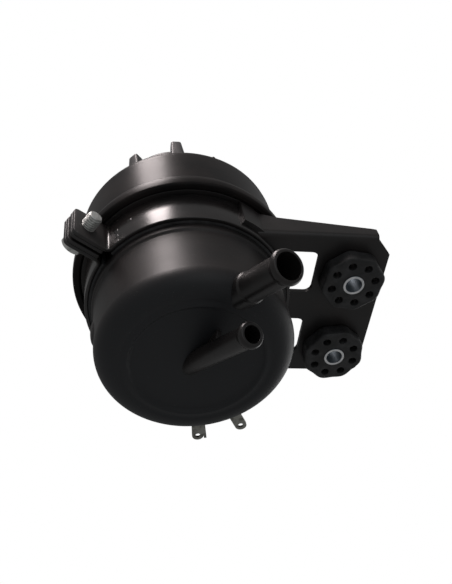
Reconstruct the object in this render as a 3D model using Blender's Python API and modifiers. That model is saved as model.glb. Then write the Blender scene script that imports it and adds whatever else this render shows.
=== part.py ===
"""Hydraulic fluid reservoir with a filter, a turn-off cover, a screw filler cap and a clamped side bracket.

Metres, +Z up (towards the filler cap). The origin is midway between the two bushing axes, on the plane of
the sleeves' lower ends. Everything is laid out round the canister's own axis and then carried to the
origin by one empty, canister_axis: its +X runs from the canister to the bracket, its Z starts at the base.
"""
import math

import bmesh
import bpy
from mathutils import Matrix, Vector

MM = 0.001

# Canister
BODY_RADIUS = 50.6 * MM
BODY_HEIGHT = 72.9 * MM
BODY_WALL = 2.0 * MM
BASE_CORNER_RADIUS = 11.0 * MM
RECESS_RADIUS = 33.0 * MM
RECESS_DEPTH = 1.5 * MM
RECESS_BLEND = 1.5 * MM
MOUTH_FLANGE_WIDTH = 6.9 * MM
MOUTH_FLANGE_THICKNESS = 2.4 * MM
STOP_BEAD_HEIGHT = 1.3 * MM
STOP_BEAD_WIDTH = 4.0 * MM
KEY_AZIMUTH = math.radians(181)
KEY_HEIGHT = 20.0 * MM
KEY_SIZE = (2.4 * MM, 5.0 * MM, 8.5 * MM)
KEY_SINK = 1.0 * MM

# Ports: both lean outward in one radial plane
PORT_AZIMUTH = math.radians(-65.5)
PORT_LEAN = math.radians(32)
SUCTION_BORE = 13.2 * MM
SUCTION_OUTER = 15.0 * MM
SUCTION_BEAD = 17.4 * MM
SUCTION_LENGTH = 33.4 * MM
SUCTION_CORNER_SHIFT = -2.35 * MM
RETURN_BORE = 8.4 * MM
RETURN_OUTER = 11.0 * MM
RETURN_BEAD = 12.8 * MM
RETURN_LENGTH = 51.0 * MM
BEAD_LENGTH = 4.8 * MM
COLLAR_LENGTH = 3.2 * MM
COLLAR_STEP = 0.8 * MM
WEB_LENGTH = 21.0 * MM
WEB_THICKNESS = 3.0 * MM

# Cover and its seal
COVER_SKIRT_THICKNESS = 4.0 * MM
COVER_SHOULDER_INSET = 4.6 * MM
COVER_RISE = 48.2 * MM
COVER_WALL = 2.4 * MM
COVER_CORNER_RADIUS = 6.0 * MM
COVER_SKIRT = 3.1 * MM
COVER_BEAD_HEIGHT = 6.6 * MM
COVER_SHELF_THICKNESS = 2.0 * MM
COVER_SIDE_WALL = 1.5 * MM
COVER_GROOVE_DEPTH = 1.4 * MM
COVER_STEP_HEIGHT = 4.6 * MM
COVER_STEP_EDGE = 0.8 * MM
COVER_CEILING_EDGE = 3.0 * MM
COVER_SEAL_SECTION = 2.5 * MM
NECK_OUTER = 27.0 * MM
NECK_WALL = 2.2 * MM
NECK_HEIGHT = 29.0 * MM
NECK_CONE_RISE = 4.0 * MM
NECK_FILLET = 1.5 * MM

# Filler cap, its insert, seal, breather and dipstick
CAP_SIDE_WALL = 4.2 * MM
CAP_WALL = 2.6 * MM
CAP_SKIRT = 19.0 * MM
CAP_HEADROOM = 19.0 * MM
CAP_THREAD_DEPTH = 1.6 * MM
CAP_EDGE = 3.0 * MM
LOBE_COUNT = 8
LOBE_PHASE = math.radians(-1.5)
LOBE_REACH = 6.3 * MM
LOBE_RISE = 2.0 * MM
LOBE_TIP_WIDTH = 6.5 * MM
LOBE_ROOT_WIDTH = 11.0 * MM
LOBE_FOOT = 2.0 * MM
LOBE_LEAN = 0.7 * MM
CAP_SEAL_THICKNESS = 2.7 * MM
INSERT_FLANGE = 3.0 * MM
INSERT_PLUG_LENGTH = 10.0 * MM
INSERT_PLUG_CLEARANCE = 1.4 * MM
BREATHER_RADIUS = 20.0 * MM
BREATHER_BORE = 16.0 * MM
BREATHER_THICKNESS = 7.0 * MM
DIPSTICK_RADIUS = 2.2 * MM
DIPSTICK_LENGTH = 53.5 * MM
DIPSTICK_COLLAR = 1.0 * MM
DIPSTICK_MARKS = (10.0 * MM, 26.0 * MM)

# Filter and its spring
FILTER_RADIUS = 36.0 * MM
FILTER_HEIGHT = 78.5 * MM
FILTER_SHEET = 1.5 * MM
FILTER_RIM = 4.5 * MM
FILTER_CORE_RADIUS = 16.5 * MM
FILTER_CORE_WALL = 1.2 * MM
PLEAT_COUNT = 36
PLEAT_DEPTH = 13.0 * MM
SEAT_BORE = 25.0 * MM
SEAT_WALL = 2.4 * MM
SEAT_HEIGHT = 6.5 * MM
SPRING_SEAT_WIDTH = 5.2 * MM
SPRING_WIRE = 2.2 * MM
SPRING_TURNS = 4

# Clamp band, its liner and its bolt
BAND_TOP_GAP = 0.9 * MM
BAND_WIDTH = 23.1 * MM
BAND_THICKNESS = 2.0 * MM
LINER_THICKNESS = 2.1 * MM
LINER_INSET = 0.6 * MM
EAR_AZIMUTH = math.radians(-148)
EAR_REACH = 20.5 * MM
EAR_GAP = 1.4 * MM
EAR_LAYERS = 2
BOLT_RADIUS = 4.0 * MM
BOLT_OFFSET = 12.2 * MM
BOLT_TIP = 12.4 * MM
BOLT_HEAD_ACROSS_FLATS = 11.0 * MM
BOLT_HEAD_HEIGHT = 4.5 * MM
WASHER_RADIUS = 6.5 * MM
WASHER_THICKNESS = 1.2 * MM

# Bracket plate
PLATE_RISE = 3.5 * MM
PLATE_THICKNESS = 2.5 * MM
BUSHING_STANDOFF = 31.5 * MM
BUSHING_SPACING = 50.6 * MM
BUSHING_SHIFT = 4.6 * MM
SPINE_LEFT = 19.8 * MM
SPINE_RIGHT = 19.2 * MM
LOW_MARGIN = 23.8 * MM
HIGH_MARGIN = 17.1 * MM
LOW_ARM = 9.5 * MM
HIGH_ARM = 13.4 * MM
MIDDLE_ARM = 18.5 * MM
MIDDLE_ARM_Y = 0.25 * MM
SPINE_CHAMFER = (8.0 * MM, 9.0 * MM)
WINDOW_CORNER = 4.0 * MM
FLANGE_TALL = 15.0 * MM
FLANGE_SHORT = 8.0 * MM
TAB_SWEEP = math.radians(12.2)
TAB_OVERLAP = 1.5
TAB_HEIGHT = 18.0 * MM
TAB_TOP_GAP = 0.6 * MM

# Rubber bushings and their sleeves
BUSHING_RADIUS = 17.0 * MM
BUSHING_SCALLOP = 0.5 * MM
BUSHING_HOLES = 8
BUSHING_HOLE_RADIUS = 2.4 * MM
BUSHING_HOLE_CIRCLE = 12.0 * MM
BUSHING_TURNS = (math.radians(30), math.radians(14))
BUSHING_NECK = 14.7 * MM
BUSHING_FLANGE = 8.4 * MM
SLEEVE_BORE = 9.0 * MM
SLEEVE_OUTER = 11.6 * MM
SLEEVE_PROUD = 0.5 * MM

# Hose clip on the canister's side
CLIP_AZIMUTH = math.radians(71)
CLIP_HEIGHT = 13.0 * MM
CLIP_WIDTH = 7.0 * MM
CLIP_SHEET = 1.4 * MM
CLIP_LUG_SPAN = 20.0 * MM
CLIP_LUG_WIDTH = 6.4 * MM
CLIP_LUG_REACH = 12.5 * MM
CLIP_LUG_HOLE = 1.5 * MM
RIVET_RADIUS = 2.0 * MM
RIVET_HEAD = 1.2 * MM

# Fits
JOIN_GAP = 0.3 * MM
SLIDE_GAP = 0.5 * MM
HOLE_CLEARANCE = 0.3 * MM

# Facets
ROUND_STEPS = 40
SMALL_STEPS = 24
HOLE_STEPS = 12
ARC_STEPS = 5

# Heights and radii worked out from the sizes above
BASE_INSIDE = RECESS_DEPTH + BODY_WALL
MOUTH_FLANGE_RADIUS = BODY_RADIUS + MOUTH_FLANGE_WIDTH
BAND_BOTTOM = BODY_HEIGHT - MOUTH_FLANGE_THICKNESS - BAND_TOP_GAP - BAND_WIDTH
LINER_INNER = BODY_RADIUS + JOIN_GAP
BAND_INNER = LINER_INNER + LINER_THICKNESS + JOIN_GAP
BAND_OUTER = BAND_INNER + BAND_THICKNESS
BAND_TOP = BAND_BOTTOM + BAND_WIDTH
BAND_CLEAR = BAND_OUTER + JOIN_GAP
EAR_HALF = EAR_GAP / 2 + EAR_LAYERS * BAND_THICKNESS
COVER_BOTTOM = BODY_HEIGHT - COVER_SKIRT
COVER_TOP = COVER_BOTTOM + COVER_RISE
COVER_CEILING = COVER_TOP - COVER_WALL
SKIRT_INNER = MOUTH_FLANGE_RADIUS + SLIDE_GAP
COVER_RADIUS = SKIRT_INNER + COVER_SKIRT_THICKNESS
COVER_SHOULDER_RADIUS = COVER_RADIUS - COVER_SHOULDER_INSET
SEAL_BOTTOM = BODY_HEIGHT + JOIN_GAP
SHELF_BOTTOM = SEAL_BOTTOM + COVER_SEAL_SECTION + JOIN_GAP
NECK_TOP = COVER_TOP + NECK_HEIGHT
NECK_BORE = NECK_OUTER - NECK_WALL
CAP_SEAL_BOTTOM = NECK_TOP + JOIN_GAP
INSERT_BOTTOM = CAP_SEAL_BOTTOM + CAP_SEAL_THICKNESS + JOIN_GAP
INSERT_TOP = INSERT_BOTTOM + INSERT_FLANGE
CAP_BORE = NECK_OUTER + CAP_THREAD_DEPTH
CAP_RADIUS = CAP_BORE + CAP_SIDE_WALL
SPRING_RADIUS = NECK_BORE + SPRING_SEAT_WIDTH
CAP_TOP = NECK_TOP + CAP_HEADROOM
CAP_BOTTOM = NECK_TOP - CAP_SKIRT
SEAT_TOP = BASE_INSIDE + JOIN_GAP + SEAT_HEIGHT
FILTER_BOTTOM = SEAT_TOP + JOIN_GAP
FILTER_TOP = FILTER_BOTTOM + FILTER_HEIGHT
PLATE_BOTTOM = BAND_BOTTOM + PLATE_RISE
BUSHING_REACH = BAND_OUTER + BUSHING_STANDOFF
PLATE_LOW_Y = BUSHING_SHIFT - BUSHING_SPACING / 2 - LOW_MARGIN
PLATE_HIGH_Y = BUSHING_SHIFT + BUSHING_SPACING / 2 + HIGH_MARGIN
SLEEVE_LENGTH = 2 * (SLEEVE_PROUD + BUSHING_FLANGE + JOIN_GAP) + PLATE_THICKNESS
SLEEVE_BOTTOM = PLATE_BOTTOM - JOIN_GAP - BUSHING_FLANGE - SLEEVE_PROUD


def collection(name):
    made = bpy.data.collections.new(name)
    bpy.context.scene.collection.children.link(made)
    return made


def material(name, colour, roughness, metallic):
    made = bpy.data.materials.new(name)
    made.use_nodes = True
    shader = made.node_tree.nodes["Principled BSDF"]
    shader.inputs["Base Color"].default_value = (*colour, 1.0)
    shader.inputs["Roughness"].default_value = roughness
    shader.inputs["Metallic"].default_value = metallic
    made.diffuse_color = (*colour, 1.0)
    return made


def add_object(name, mesh, finish=None):
    """Put a mesh on the canister's axis: with a finish it is a part, without one a cutter."""
    made = bpy.data.objects.new(name, mesh)
    if finish:
        PARTS.objects.link(made)
        mesh.materials.append(finish)
    else:
        CUTTERS.objects.link(made)
        made.hide_render = True
        made.display_type = "WIRE"
    made.parent = AXIS
    return made


def arc(centre, radius, start, end, steps=ARC_STEPS):
    """Points on an arc, from angle start to angle end in degrees."""
    points = []
    for step in range(steps + 1):
        angle = math.radians(start + (end - start) * step / steps)
        points.append((centre[0] + radius * math.cos(angle), centre[1] + radius * math.sin(angle)))
    return points


def turned(name, profile, finish=None, steps=ROUND_STEPS, closed=True):
    """Spin a profile of (radius, height) points: its outer side runs from top to bottom."""
    mesh = bpy.data.meshes.new(name)
    count = len(profile)
    edges = [(i, i + 1) for i in range(count - 1)]
    if closed:
        edges.append((count - 1, 0))
    mesh.from_pydata([(r, 0, z) for r, z in profile], edges, [])
    made = add_object(name, mesh, finish)
    spin = made.modifiers.new("spin", "SCREW")
    spin.axis = "Z"
    spin.steps = steps
    spin.render_steps = steps
    spin.use_merge_vertices = True
    spin.merge_threshold = 0.00002
    spin.use_smooth_shade = False
    return made


def ring(name, inner, outer, bottom, top, finish=None, steps=ROUND_STEPS):
    profile = [(outer, top), (outer, bottom), (inner, bottom), (inner, top)]
    return turned(name, profile, finish, steps)


def disc(name, radius, bottom, top, finish=None, steps=ROUND_STEPS):
    profile = [(0, top), (radius, top), (radius, bottom), (0, bottom)]
    return turned(name, profile, finish, steps, closed=False)


def plate(name, outlines, bottom, thickness, finish=None):
    """Extrude flat outlines of (x, y) points, the first the outside and the rest holes, upward from bottom."""
    flat = bpy.data.curves.new(name, "CURVE")
    flat.dimensions = "2D"
    flat.fill_mode = "BOTH"
    flat.extrude = thickness / 2
    for outline in outlines:
        spline = flat.splines.new("POLY")
        spline.points.add(len(outline) - 1)
        for point, (x, y) in zip(spline.points, outline):
            point.co = (x, y, 0, 1)
        spline.use_cyclic_u = True
    guide = bpy.data.objects.new(name + "_outline", flat)
    CUTTERS.objects.link(guide)
    bpy.context.view_layer.update()
    mesh = bpy.data.meshes.new_from_object(guide.evaluated_get(bpy.context.evaluated_depsgraph_get()))
    bpy.data.objects.remove(guide)
    shape = bmesh.new()
    shape.from_mesh(mesh)
    bmesh.ops.remove_doubles(shape, verts=shape.verts, dist=0.000001)
    bmesh.ops.recalc_face_normals(shape, faces=shape.faces)
    bmesh.ops.translate(shape, verts=shape.verts, vec=(0, 0, bottom + thickness / 2))
    shape.to_mesh(mesh)
    shape.free()
    mesh.materials.clear()
    mesh.name = name
    return add_object(name, mesh, finish)


def block(name, size, centre, finish=None):
    """A box of the given size about a centre."""
    mesh = bpy.data.meshes.new(name)
    shape = bmesh.new()
    bmesh.ops.create_cube(shape, size=1.0)
    bmesh.ops.scale(shape, vec=size, verts=shape.verts)
    bmesh.ops.translate(shape, vec=centre, verts=shape.verts)
    shape.to_mesh(mesh)
    shape.free()
    return add_object(name, mesh, finish)


def rod(name, radius, start, end, finish=None, steps=SMALL_STEPS):
    """A round rod between two points."""
    start = Vector(start)
    end = Vector(end)
    made = disc(name, radius, 0, (end - start).length, finish, steps)
    made.location = start
    made.rotation_euler = (end - start).to_track_quat("Z", "Y").to_euler()
    return made


def combine(target, tool, operation):
    step = target.modifiers.new(tool.name, "BOOLEAN")
    step.operation = operation
    step.object = tool
    step.solver = "EXACT"


def cut(target, *tools):
    for tool in tools:
        combine(target, tool, "DIFFERENCE")


def join(target, *tools):
    for tool in tools:
        combine(target, tool, "UNION")


def polar(radius, azimuth, z=0.0):
    return Vector((radius * math.cos(azimuth), radius * math.sin(azimuth), z))


def circle(radius, centre=(0, 0), steps=SMALL_STEPS):
    return arc(centre, radius, 0, 360, steps)[:-1]


def radial_frame(azimuth, centre):
    """A frame at a point: X outward along the azimuth, Y round the canister, Z up."""
    return Matrix.Translation(centre) @ Matrix.Rotation(azimuth, 4, "Z")


# --- Canister -------------------------------------------------------------------------------------------

def base_profile(offset=0.0):
    """The outside of the canister from the side wall down to the base centre, pushed out by an offset."""
    corner = (BODY_RADIUS - BASE_CORNER_RADIUS, BASE_CORNER_RADIUS)
    points = arc(corner, BASE_CORNER_RADIUS + offset, 0, -90)
    points.append((RECESS_RADIUS + RECESS_BLEND, -offset))
    points.append((RECESS_RADIUS, RECESS_DEPTH - offset))
    points.append((0, RECESS_DEPTH - offset))
    return points


def canister(finish):
    inner = BODY_RADIUS - BODY_WALL
    corner = BASE_CORNER_RADIUS - BODY_WALL
    floor_corner = (inner - corner, BASE_INSIDE + corner)
    flange_bottom = BODY_HEIGHT - MOUTH_FLANGE_THICKNESS
    bead_top = BAND_BOTTOM - JOIN_GAP
    bead_out = BODY_RADIUS + STOP_BEAD_HEIGHT
    profile = [(0, BASE_INSIDE)]
    profile += arc(floor_corner, corner, -90, 0)
    profile += [(inner, BODY_HEIGHT), (MOUTH_FLANGE_RADIUS, BODY_HEIGHT)]
    profile += [(MOUTH_FLANGE_RADIUS, flange_bottom), (BODY_RADIUS, flange_bottom)]
    profile += [(BODY_RADIUS, bead_top), (bead_out, bead_top - STOP_BEAD_WIDTH / 4)]
    profile += [(bead_out, bead_top - STOP_BEAD_WIDTH * 3 / 4), (BODY_RADIUS, bead_top - STOP_BEAD_WIDTH)]
    profile += base_profile()
    made = turned("canister", profile, finish, closed=False)
    key_mesh = bpy.data.meshes.new("key")
    shape = bmesh.new()
    bmesh.ops.create_uvsphere(shape, u_segments=12, v_segments=8, radius=1.0)
    bmesh.ops.scale(shape, vec=KEY_SIZE, verts=shape.verts)
    middle = polar(BODY_RADIUS - KEY_SINK, KEY_AZIMUTH, KEY_HEIGHT)
    shape.transform(radial_frame(KEY_AZIMUTH, middle))
    shape.to_mesh(key_mesh)
    shape.free()
    join(made, add_object("key", key_mesh))
    for name, bore in (("suction", SUCTION_BORE), ("return", RETURN_BORE)):
        root, out = port_line(name)
        reach = 4 * BODY_WALL
        cut(made, rod(name + "_hole", bore / 2, root - reach * 1.4 * out, root + reach * out))
    cut(made, rod("rivet_hole", RIVET_RADIUS + HOLE_CLEARANCE, *rivet_ends(BODY_WALL), steps=HOLE_STEPS))
    return made


# --- Ports ----------------------------------------------------------------------------------------------

def port_line(name):
    """Where a port's axis crosses the canister's outside, and its outward direction."""
    out = polar(math.cos(PORT_LEAN), PORT_AZIMUTH, -math.sin(PORT_LEAN))
    if name == "return":
        return Vector((0, 0, RECESS_DEPTH)), out
    corner = polar(BODY_RADIUS - BASE_CORNER_RADIUS, PORT_AZIMUTH, BASE_CORNER_RADIUS)
    side = polar(math.sin(PORT_LEAN), PORT_AZIMUTH, math.cos(PORT_LEAN))
    reach = math.sqrt(BASE_CORNER_RADIUS ** 2 - SUCTION_CORNER_SHIFT ** 2)
    return corner + out * reach + side * SUCTION_CORNER_SHIFT, out


def nipple(name, bore, outer, bead, length, root_length, collar_radius, finish):
    """A hose nipple along its own +Z, tip at its origin, rolled bead at the tip and a collar at the root."""
    flat = outer / 2 + 0.15 * (bead - outer)
    middle = -BEAD_LENGTH / 2
    swell = bead / 2 - outer / 2
    profile = [(bore / 2, 0), (flat, 0)]
    profile += [(outer / 2 + swell * 0.85, middle * 0.45), (bead / 2, middle)]
    profile += [(outer / 2 + swell * 0.6, middle * 1.6), (outer / 2, -BEAD_LENGTH)]
    if collar_radius:
        profile += [(outer / 2, COLLAR_LENGTH - length), (collar_radius, COLLAR_LENGTH * 0.6 - length)]
        profile += [(collar_radius, -root_length)]
    else:
        profile += [(outer / 2, -root_length)]
    profile += [(bore / 2, -root_length)]
    made = turned(name, profile, finish, SMALL_STEPS)
    root, out = port_line(name.split("_")[0])
    made.location = root + out * length
    made.rotation_euler = out.to_track_quat("Z", "Y").to_euler()
    return made


def canister_cutter(name):
    """The canister's outside with the joining gap round it."""
    profile = [(0, BAND_BOTTOM), (BODY_RADIUS + JOIN_GAP, BAND_BOTTOM)] + base_profile(JOIN_GAP)
    return turned(name, profile, closed=False)


def suction_nipple(finish):
    collar = SUCTION_OUTER / 2 + COLLAR_STEP
    root_length = SUCTION_LENGTH + BASE_CORNER_RADIUS / 2
    made = nipple("suction_nipple", SUCTION_BORE, SUCTION_OUTER, SUCTION_BEAD, SUCTION_LENGTH,
                  root_length, collar, finish)
    cut(made, canister_cutter("suction_saddle"))
    return made


def return_nipple(finish):
    root_length = RETURN_LENGTH + RETURN_OUTER
    made = nipple("return_nipple", RETURN_BORE, RETURN_OUTER, RETURN_BEAD, RETURN_LENGTH,
                  root_length, 0, finish)
    slope = math.tan(PORT_LEAN)
    side = RECESS_DEPTH - 2 * JOIN_GAP
    far = WEB_LENGTH * 0.72
    outline = [(RETURN_OUTER, side), (WEB_LENGTH, side), (WEB_LENGTH, 0), (far, -far * slope + side),
               (RETURN_OUTER * 0.6, -RETURN_OUTER * 0.6 * slope)]
    web = plate("return_web", [outline], -WEB_THICKNESS / 2, WEB_THICKNESS)
    web.data.transform(Matrix.Rotation(PORT_AZIMUTH, 4, "Z") @ Matrix.Rotation(math.radians(90), 4, "X"))
    join(made, web)
    bore = rod("return_bore", RETURN_BORE / 2, port_line("return")[0] - port_line("return")[1] * RETURN_OUTER,
               port_line("return")[0] + port_line("return")[1] * RETURN_LENGTH * 0.9)
    cut(made, bore, canister_cutter("return_saddle"))
    return made


# --- Cover ----------------------------------------------------------------------------------------------

def cover(finish):
    bead_top = COVER_BOTTOM + COVER_BEAD_HEIGHT
    bead = COVER_BEAD_HEIGHT / 2
    groove = COVER_RADIUS - COVER_GROOVE_DEPTH
    step_top = bead_top + COVER_STEP_HEIGHT
    edge = COVER_STEP_EDGE
    shoulder = (COVER_SHOULDER_RADIUS - COVER_CORNER_RADIUS, COVER_TOP - COVER_CORNER_RADIUS)
    cone_top = COVER_TOP + NECK_CONE_RISE
    inner_low = COVER_SHOULDER_RADIUS - COVER_SIDE_WALL
    shelf = MOUTH_FLANGE_RADIUS - COVER_SEAL_SECTION - 2 * SLIDE_GAP
    shelf_top = SHELF_BOTTOM + COVER_SHELF_THICKNESS
    profile = [(NECK_OUTER, NECK_TOP), (NECK_OUTER, cone_top + NECK_FILLET), (NECK_OUTER + NECK_FILLET, cone_top)]
    profile += arc(shoulder, COVER_CORNER_RADIUS, 90, 0)
    profile += [(groove - 2 * edge, step_top + edge), (groove - edge / 2, step_top)]
    profile += [(groove, bead_top + edge), (groove, bead_top)]
    profile += arc((COVER_RADIUS - bead * 0.5, COVER_BOTTOM + bead), bead * 0.5, 80, -60, 4)
    profile += [(COVER_RADIUS - bead * 0.4, COVER_BOTTOM), (SKIRT_INNER, COVER_BOTTOM)]
    profile += [(SKIRT_INNER, SHELF_BOTTOM), (shelf, SHELF_BOTTOM), (shelf, shelf_top), (inner_low, shelf_top)]
    profile += [(inner_low, COVER_CEILING - COVER_CEILING_EDGE)]
    profile += [(inner_low - COVER_CEILING_EDGE, COVER_CEILING)]
    profile += [(NECK_BORE, COVER_CEILING), (NECK_BORE, NECK_TOP)]
    return turned("cover", profile, finish)


def cover_seal(finish):
    half = COVER_SEAL_SECTION / 2
    centre = (MOUTH_FLANGE_RADIUS - half - SLIDE_GAP, SEAL_BOTTOM + half)
    return turned("cover_seal", arc(centre, half, 90, -270, 8)[:-1], finish)


# --- Filler cap -----------------------------------------------------------------------------------------

def lobes():
    """Gripping lobes round the cap, wide at the foot and narrow at the crown."""
    mesh = bpy.data.meshes.new("lobes")
    shape = bmesh.new()
    inside = CAP_RADIUS - CAP_WALL / 2
    outside = CAP_RADIUS + LOBE_REACH
    foot = CAP_BOTTOM + LOBE_FOOT
    crown = CAP_TOP + LOBE_RISE
    for index in range(LOBE_COUNT):
        lobe = bmesh.ops.create_cube(shape, size=1.0)["verts"]
        for vert in lobe:
            high = vert.co.z > 0
            width = LOBE_TIP_WIDTH if high else LOBE_ROOT_WIDTH
            lean = LOBE_LEAN if high else 0.0
            vert.co.x = outside - lean if vert.co.x > 0 else inside
            vert.co.y = vert.co.y * width
            vert.co.z = crown if high else foot
        turn = Matrix.Rotation(LOBE_PHASE + index * math.tau / LOBE_COUNT, 4, "Z")
        bmesh.ops.transform(shape, matrix=turn, verts=lobe)
    shape.to_mesh(mesh)
    shape.free()
    return add_object("lobes", mesh)


def filler_cap(finish):
    profile = [(0, CAP_TOP - CAP_WALL), (CAP_BORE, CAP_TOP - CAP_WALL), (CAP_BORE, CAP_BOTTOM)]
    profile += [(CAP_RADIUS, CAP_BOTTOM), (CAP_RADIUS, CAP_TOP - CAP_EDGE)]
    profile += [(CAP_RADIUS - CAP_EDGE, CAP_TOP), (0, CAP_TOP)]
    made = turned("filler_cap", profile[::-1], finish, closed=False)
    join(made, lobes())
    return made


def cap_seal(finish):
    return ring("cap_seal", NECK_BORE - JOIN_GAP, CAP_BORE - SLIDE_GAP, CAP_SEAL_BOTTOM,
                CAP_SEAL_BOTTOM + CAP_SEAL_THICKNESS, finish)


def cap_insert(finish):
    """Keyed plug under the cap: flange on the seal, plug in the neck, a hole for the dipstick."""
    plug = NECK_BORE - INSERT_PLUG_CLEARANCE
    hole = DIPSTICK_RADIUS + JOIN_GAP
    bottom = INSERT_BOTTOM - INSERT_PLUG_LENGTH
    profile = [(CAP_BORE - SLIDE_GAP, INSERT_TOP), (CAP_BORE - SLIDE_GAP, INSERT_BOTTOM), (plug, INSERT_BOTTOM)]
    profile += [(plug, bottom), (plug - CAP_WALL, bottom), (plug - CAP_WALL, INSERT_BOTTOM)]
    profile += [(2 * hole, INSERT_BOTTOM), (2 * hole, bottom), (hole, bottom), (hole, INSERT_TOP)]
    return turned("cap_insert", profile, finish)


def breather_foam(finish):
    bottom = INSERT_TOP + JOIN_GAP
    return ring("breather_foam", BREATHER_BORE / 2, BREATHER_RADIUS, bottom, bottom + BREATHER_THICKNESS, finish,
                SMALL_STEPS)


def dipstick(finish):
    top = INSERT_TOP + JOIN_GAP
    head = DIPSTICK_RADIUS + 2 * DIPSTICK_COLLAR
    tip = top - DIPSTICK_LENGTH
    profile = [(0, top + DIPSTICK_COLLAR), (head, top + DIPSTICK_COLLAR), (head, top), (DIPSTICK_RADIUS, top)]
    for mark in reversed(DIPSTICK_MARKS):
        collar = DIPSTICK_RADIUS + DIPSTICK_COLLAR
        low = tip + mark
        profile += [(DIPSTICK_RADIUS, low + 2 * DIPSTICK_COLLAR), (collar, low + 1.5 * DIPSTICK_COLLAR)]
        profile += [(collar, low + 0.5 * DIPSTICK_COLLAR), (DIPSTICK_RADIUS, low)]
    profile += [(DIPSTICK_RADIUS, tip + DIPSTICK_COLLAR), (DIPSTICK_RADIUS / 2, tip), (0, tip)]
    return turned("dipstick", profile, finish, HOLE_STEPS, closed=False)


# --- Filter ---------------------------------------------------------------------------------------------

def filter_seat(finish):
    bottom = BASE_INSIDE + JOIN_GAP
    bore = SEAT_BORE / 2
    outer = bore + SEAT_WALL
    foot = outer + SEAT_WALL
    profile = [(outer, SEAT_TOP), (outer, bottom + SEAT_WALL / 2), (foot, bottom + SEAT_WALL / 2)]
    profile += [(foot, bottom), (bore, bottom), (bore, SEAT_TOP)]
    return turned("filter_seat", profile, finish)


def filter_bottom_cap(finish):
    """End cap with a collar that slides on the seat and an upturned rim round the pleats."""
    collar = SEAT_BORE / 2 + SEAT_WALL + SLIDE_GAP
    floor = FILTER_BOTTOM + FILTER_SHEET
    low = SEAT_TOP - SEAT_HEIGHT * 0.6
    rim = FILTER_RADIUS - FILTER_SHEET / 2
    profile = [(FILTER_RADIUS, FILTER_BOTTOM + FILTER_RIM), (FILTER_RADIUS, FILTER_BOTTOM)]
    profile += [(collar + FILTER_SHEET, FILTER_BOTTOM), (collar + FILTER_SHEET, low), (collar, low)]
    profile += [(collar, FILTER_BOTTOM), (SEAT_BORE / 2, FILTER_BOTTOM), (SEAT_BORE / 2, floor)]
    profile += [(rim, floor), (rim, FILTER_BOTTOM + FILTER_RIM)]
    return turned("filter_bottom_cap", profile, finish)


def filter_top_cap(finish):
    ceiling = FILTER_TOP - FILTER_SHEET
    rim = FILTER_RADIUS - FILTER_SHEET / 2
    pilot = SPRING_RADIUS - SPRING_WIRE / 2 - 2 * SLIDE_GAP
    pilot_top = FILTER_TOP + FILTER_SHEET
    profile = [(0, pilot_top), (pilot, pilot_top), (pilot, FILTER_TOP), (FILTER_RADIUS, FILTER_TOP)]
    profile += [(FILTER_RADIUS, FILTER_TOP - FILTER_RIM), (rim, FILTER_TOP - FILTER_RIM), (rim, ceiling)]
    profile += [(0, ceiling)]
    return turned("filter_top_cap", profile, finish, closed=False)


def filter_bounds():
    """Lowest and highest level of what stands between the two end caps."""
    return FILTER_BOTTOM + FILTER_SHEET + JOIN_GAP, FILTER_TOP - FILTER_SHEET - JOIN_GAP


def filter_core(finish):
    bottom, top = filter_bounds()
    made = ring("filter_core", FILTER_CORE_RADIUS - FILTER_CORE_WALL, FILTER_CORE_RADIUS, bottom, top, finish,
                SMALL_STEPS)
    rows = 4
    tall = (top - bottom) / (rows + 1)
    for row in range(rows):
        height = bottom + (row + 0.75) * (top - bottom) / rows - tall / 2
        slot = block(f"core_slot_{row + 1}", (3 * FILTER_CORE_RADIUS, FILTER_CORE_RADIUS / 3, tall / 2),
                     (0, 0, height))
        slot.rotation_euler.z = math.radians(7.5 + 60 * row)
        cut(made, slot)
    return made


def filter_element(finish):
    bottom, top = filter_bounds()
    outer = FILTER_RADIUS - FILTER_SHEET / 2 - JOIN_GAP
    inner = FILTER_CORE_RADIUS + JOIN_GAP
    star = []
    for index in range(2 * PLEAT_COUNT):
        angle = math.pi * index / PLEAT_COUNT
        radius = outer if index % 2 == 0 else outer - PLEAT_DEPTH
        star.append((radius * math.cos(angle), radius * math.sin(angle)))
    return plate("filter_element", [star, circle(inner, steps=SMALL_STEPS)], bottom, top - bottom, finish)


def filter_spring(finish):
    """Open coil between the filter's top cap and the cover's ceiling."""
    wire = SPRING_WIRE / 2
    low = FILTER_TOP + JOIN_GAP + wire
    high = COVER_CEILING - JOIN_GAP - wire
    per_turn = 16
    count = SPRING_TURNS * per_turn + 1
    coil = bpy.data.curves.new("filter_spring", "CURVE")
    coil.dimensions = "3D"
    coil.bevel_depth = wire
    coil.bevel_resolution = 2
    coil.use_fill_caps = True
    spline = coil.splines.new("POLY")
    spline.points.add(count - 1)
    for index, point in enumerate(spline.points):
        angle = math.tau * index / per_turn
        height = low + (high - low) * index / (count - 1)
        point.co = (SPRING_RADIUS * math.cos(angle), SPRING_RADIUS * math.sin(angle), height, 1)
    return add_object("filter_spring", coil, finish)


# --- Clamp ----------------------------------------------------------------------------------------------

def clamp_ring_outline(inner, outer, half_gap, ear_half=0.0, ear_radius=0.0):
    """A split ring about the ear's azimuth, drawn with the split on +X; ears stand out where asked for."""
    start_out = math.degrees(math.asin((ear_half or half_gap) / outer))
    start_in = math.degrees(math.asin(half_gap / inner))
    points = arc((0, 0), outer, start_out, 360 - start_out, ROUND_STEPS)
    if ear_radius:
        points += [(ear_radius, -ear_half), (ear_radius, -half_gap)]
    points += arc((0, 0), inner, 360 - start_in, start_in, ROUND_STEPS)
    if ear_radius:
        points += [(ear_radius, half_gap), (ear_radius, ear_half)]
    turn = Matrix.Rotation(EAR_AZIMUTH, 2)
    return [tuple(turn @ Vector(point)) for point in points]


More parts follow.
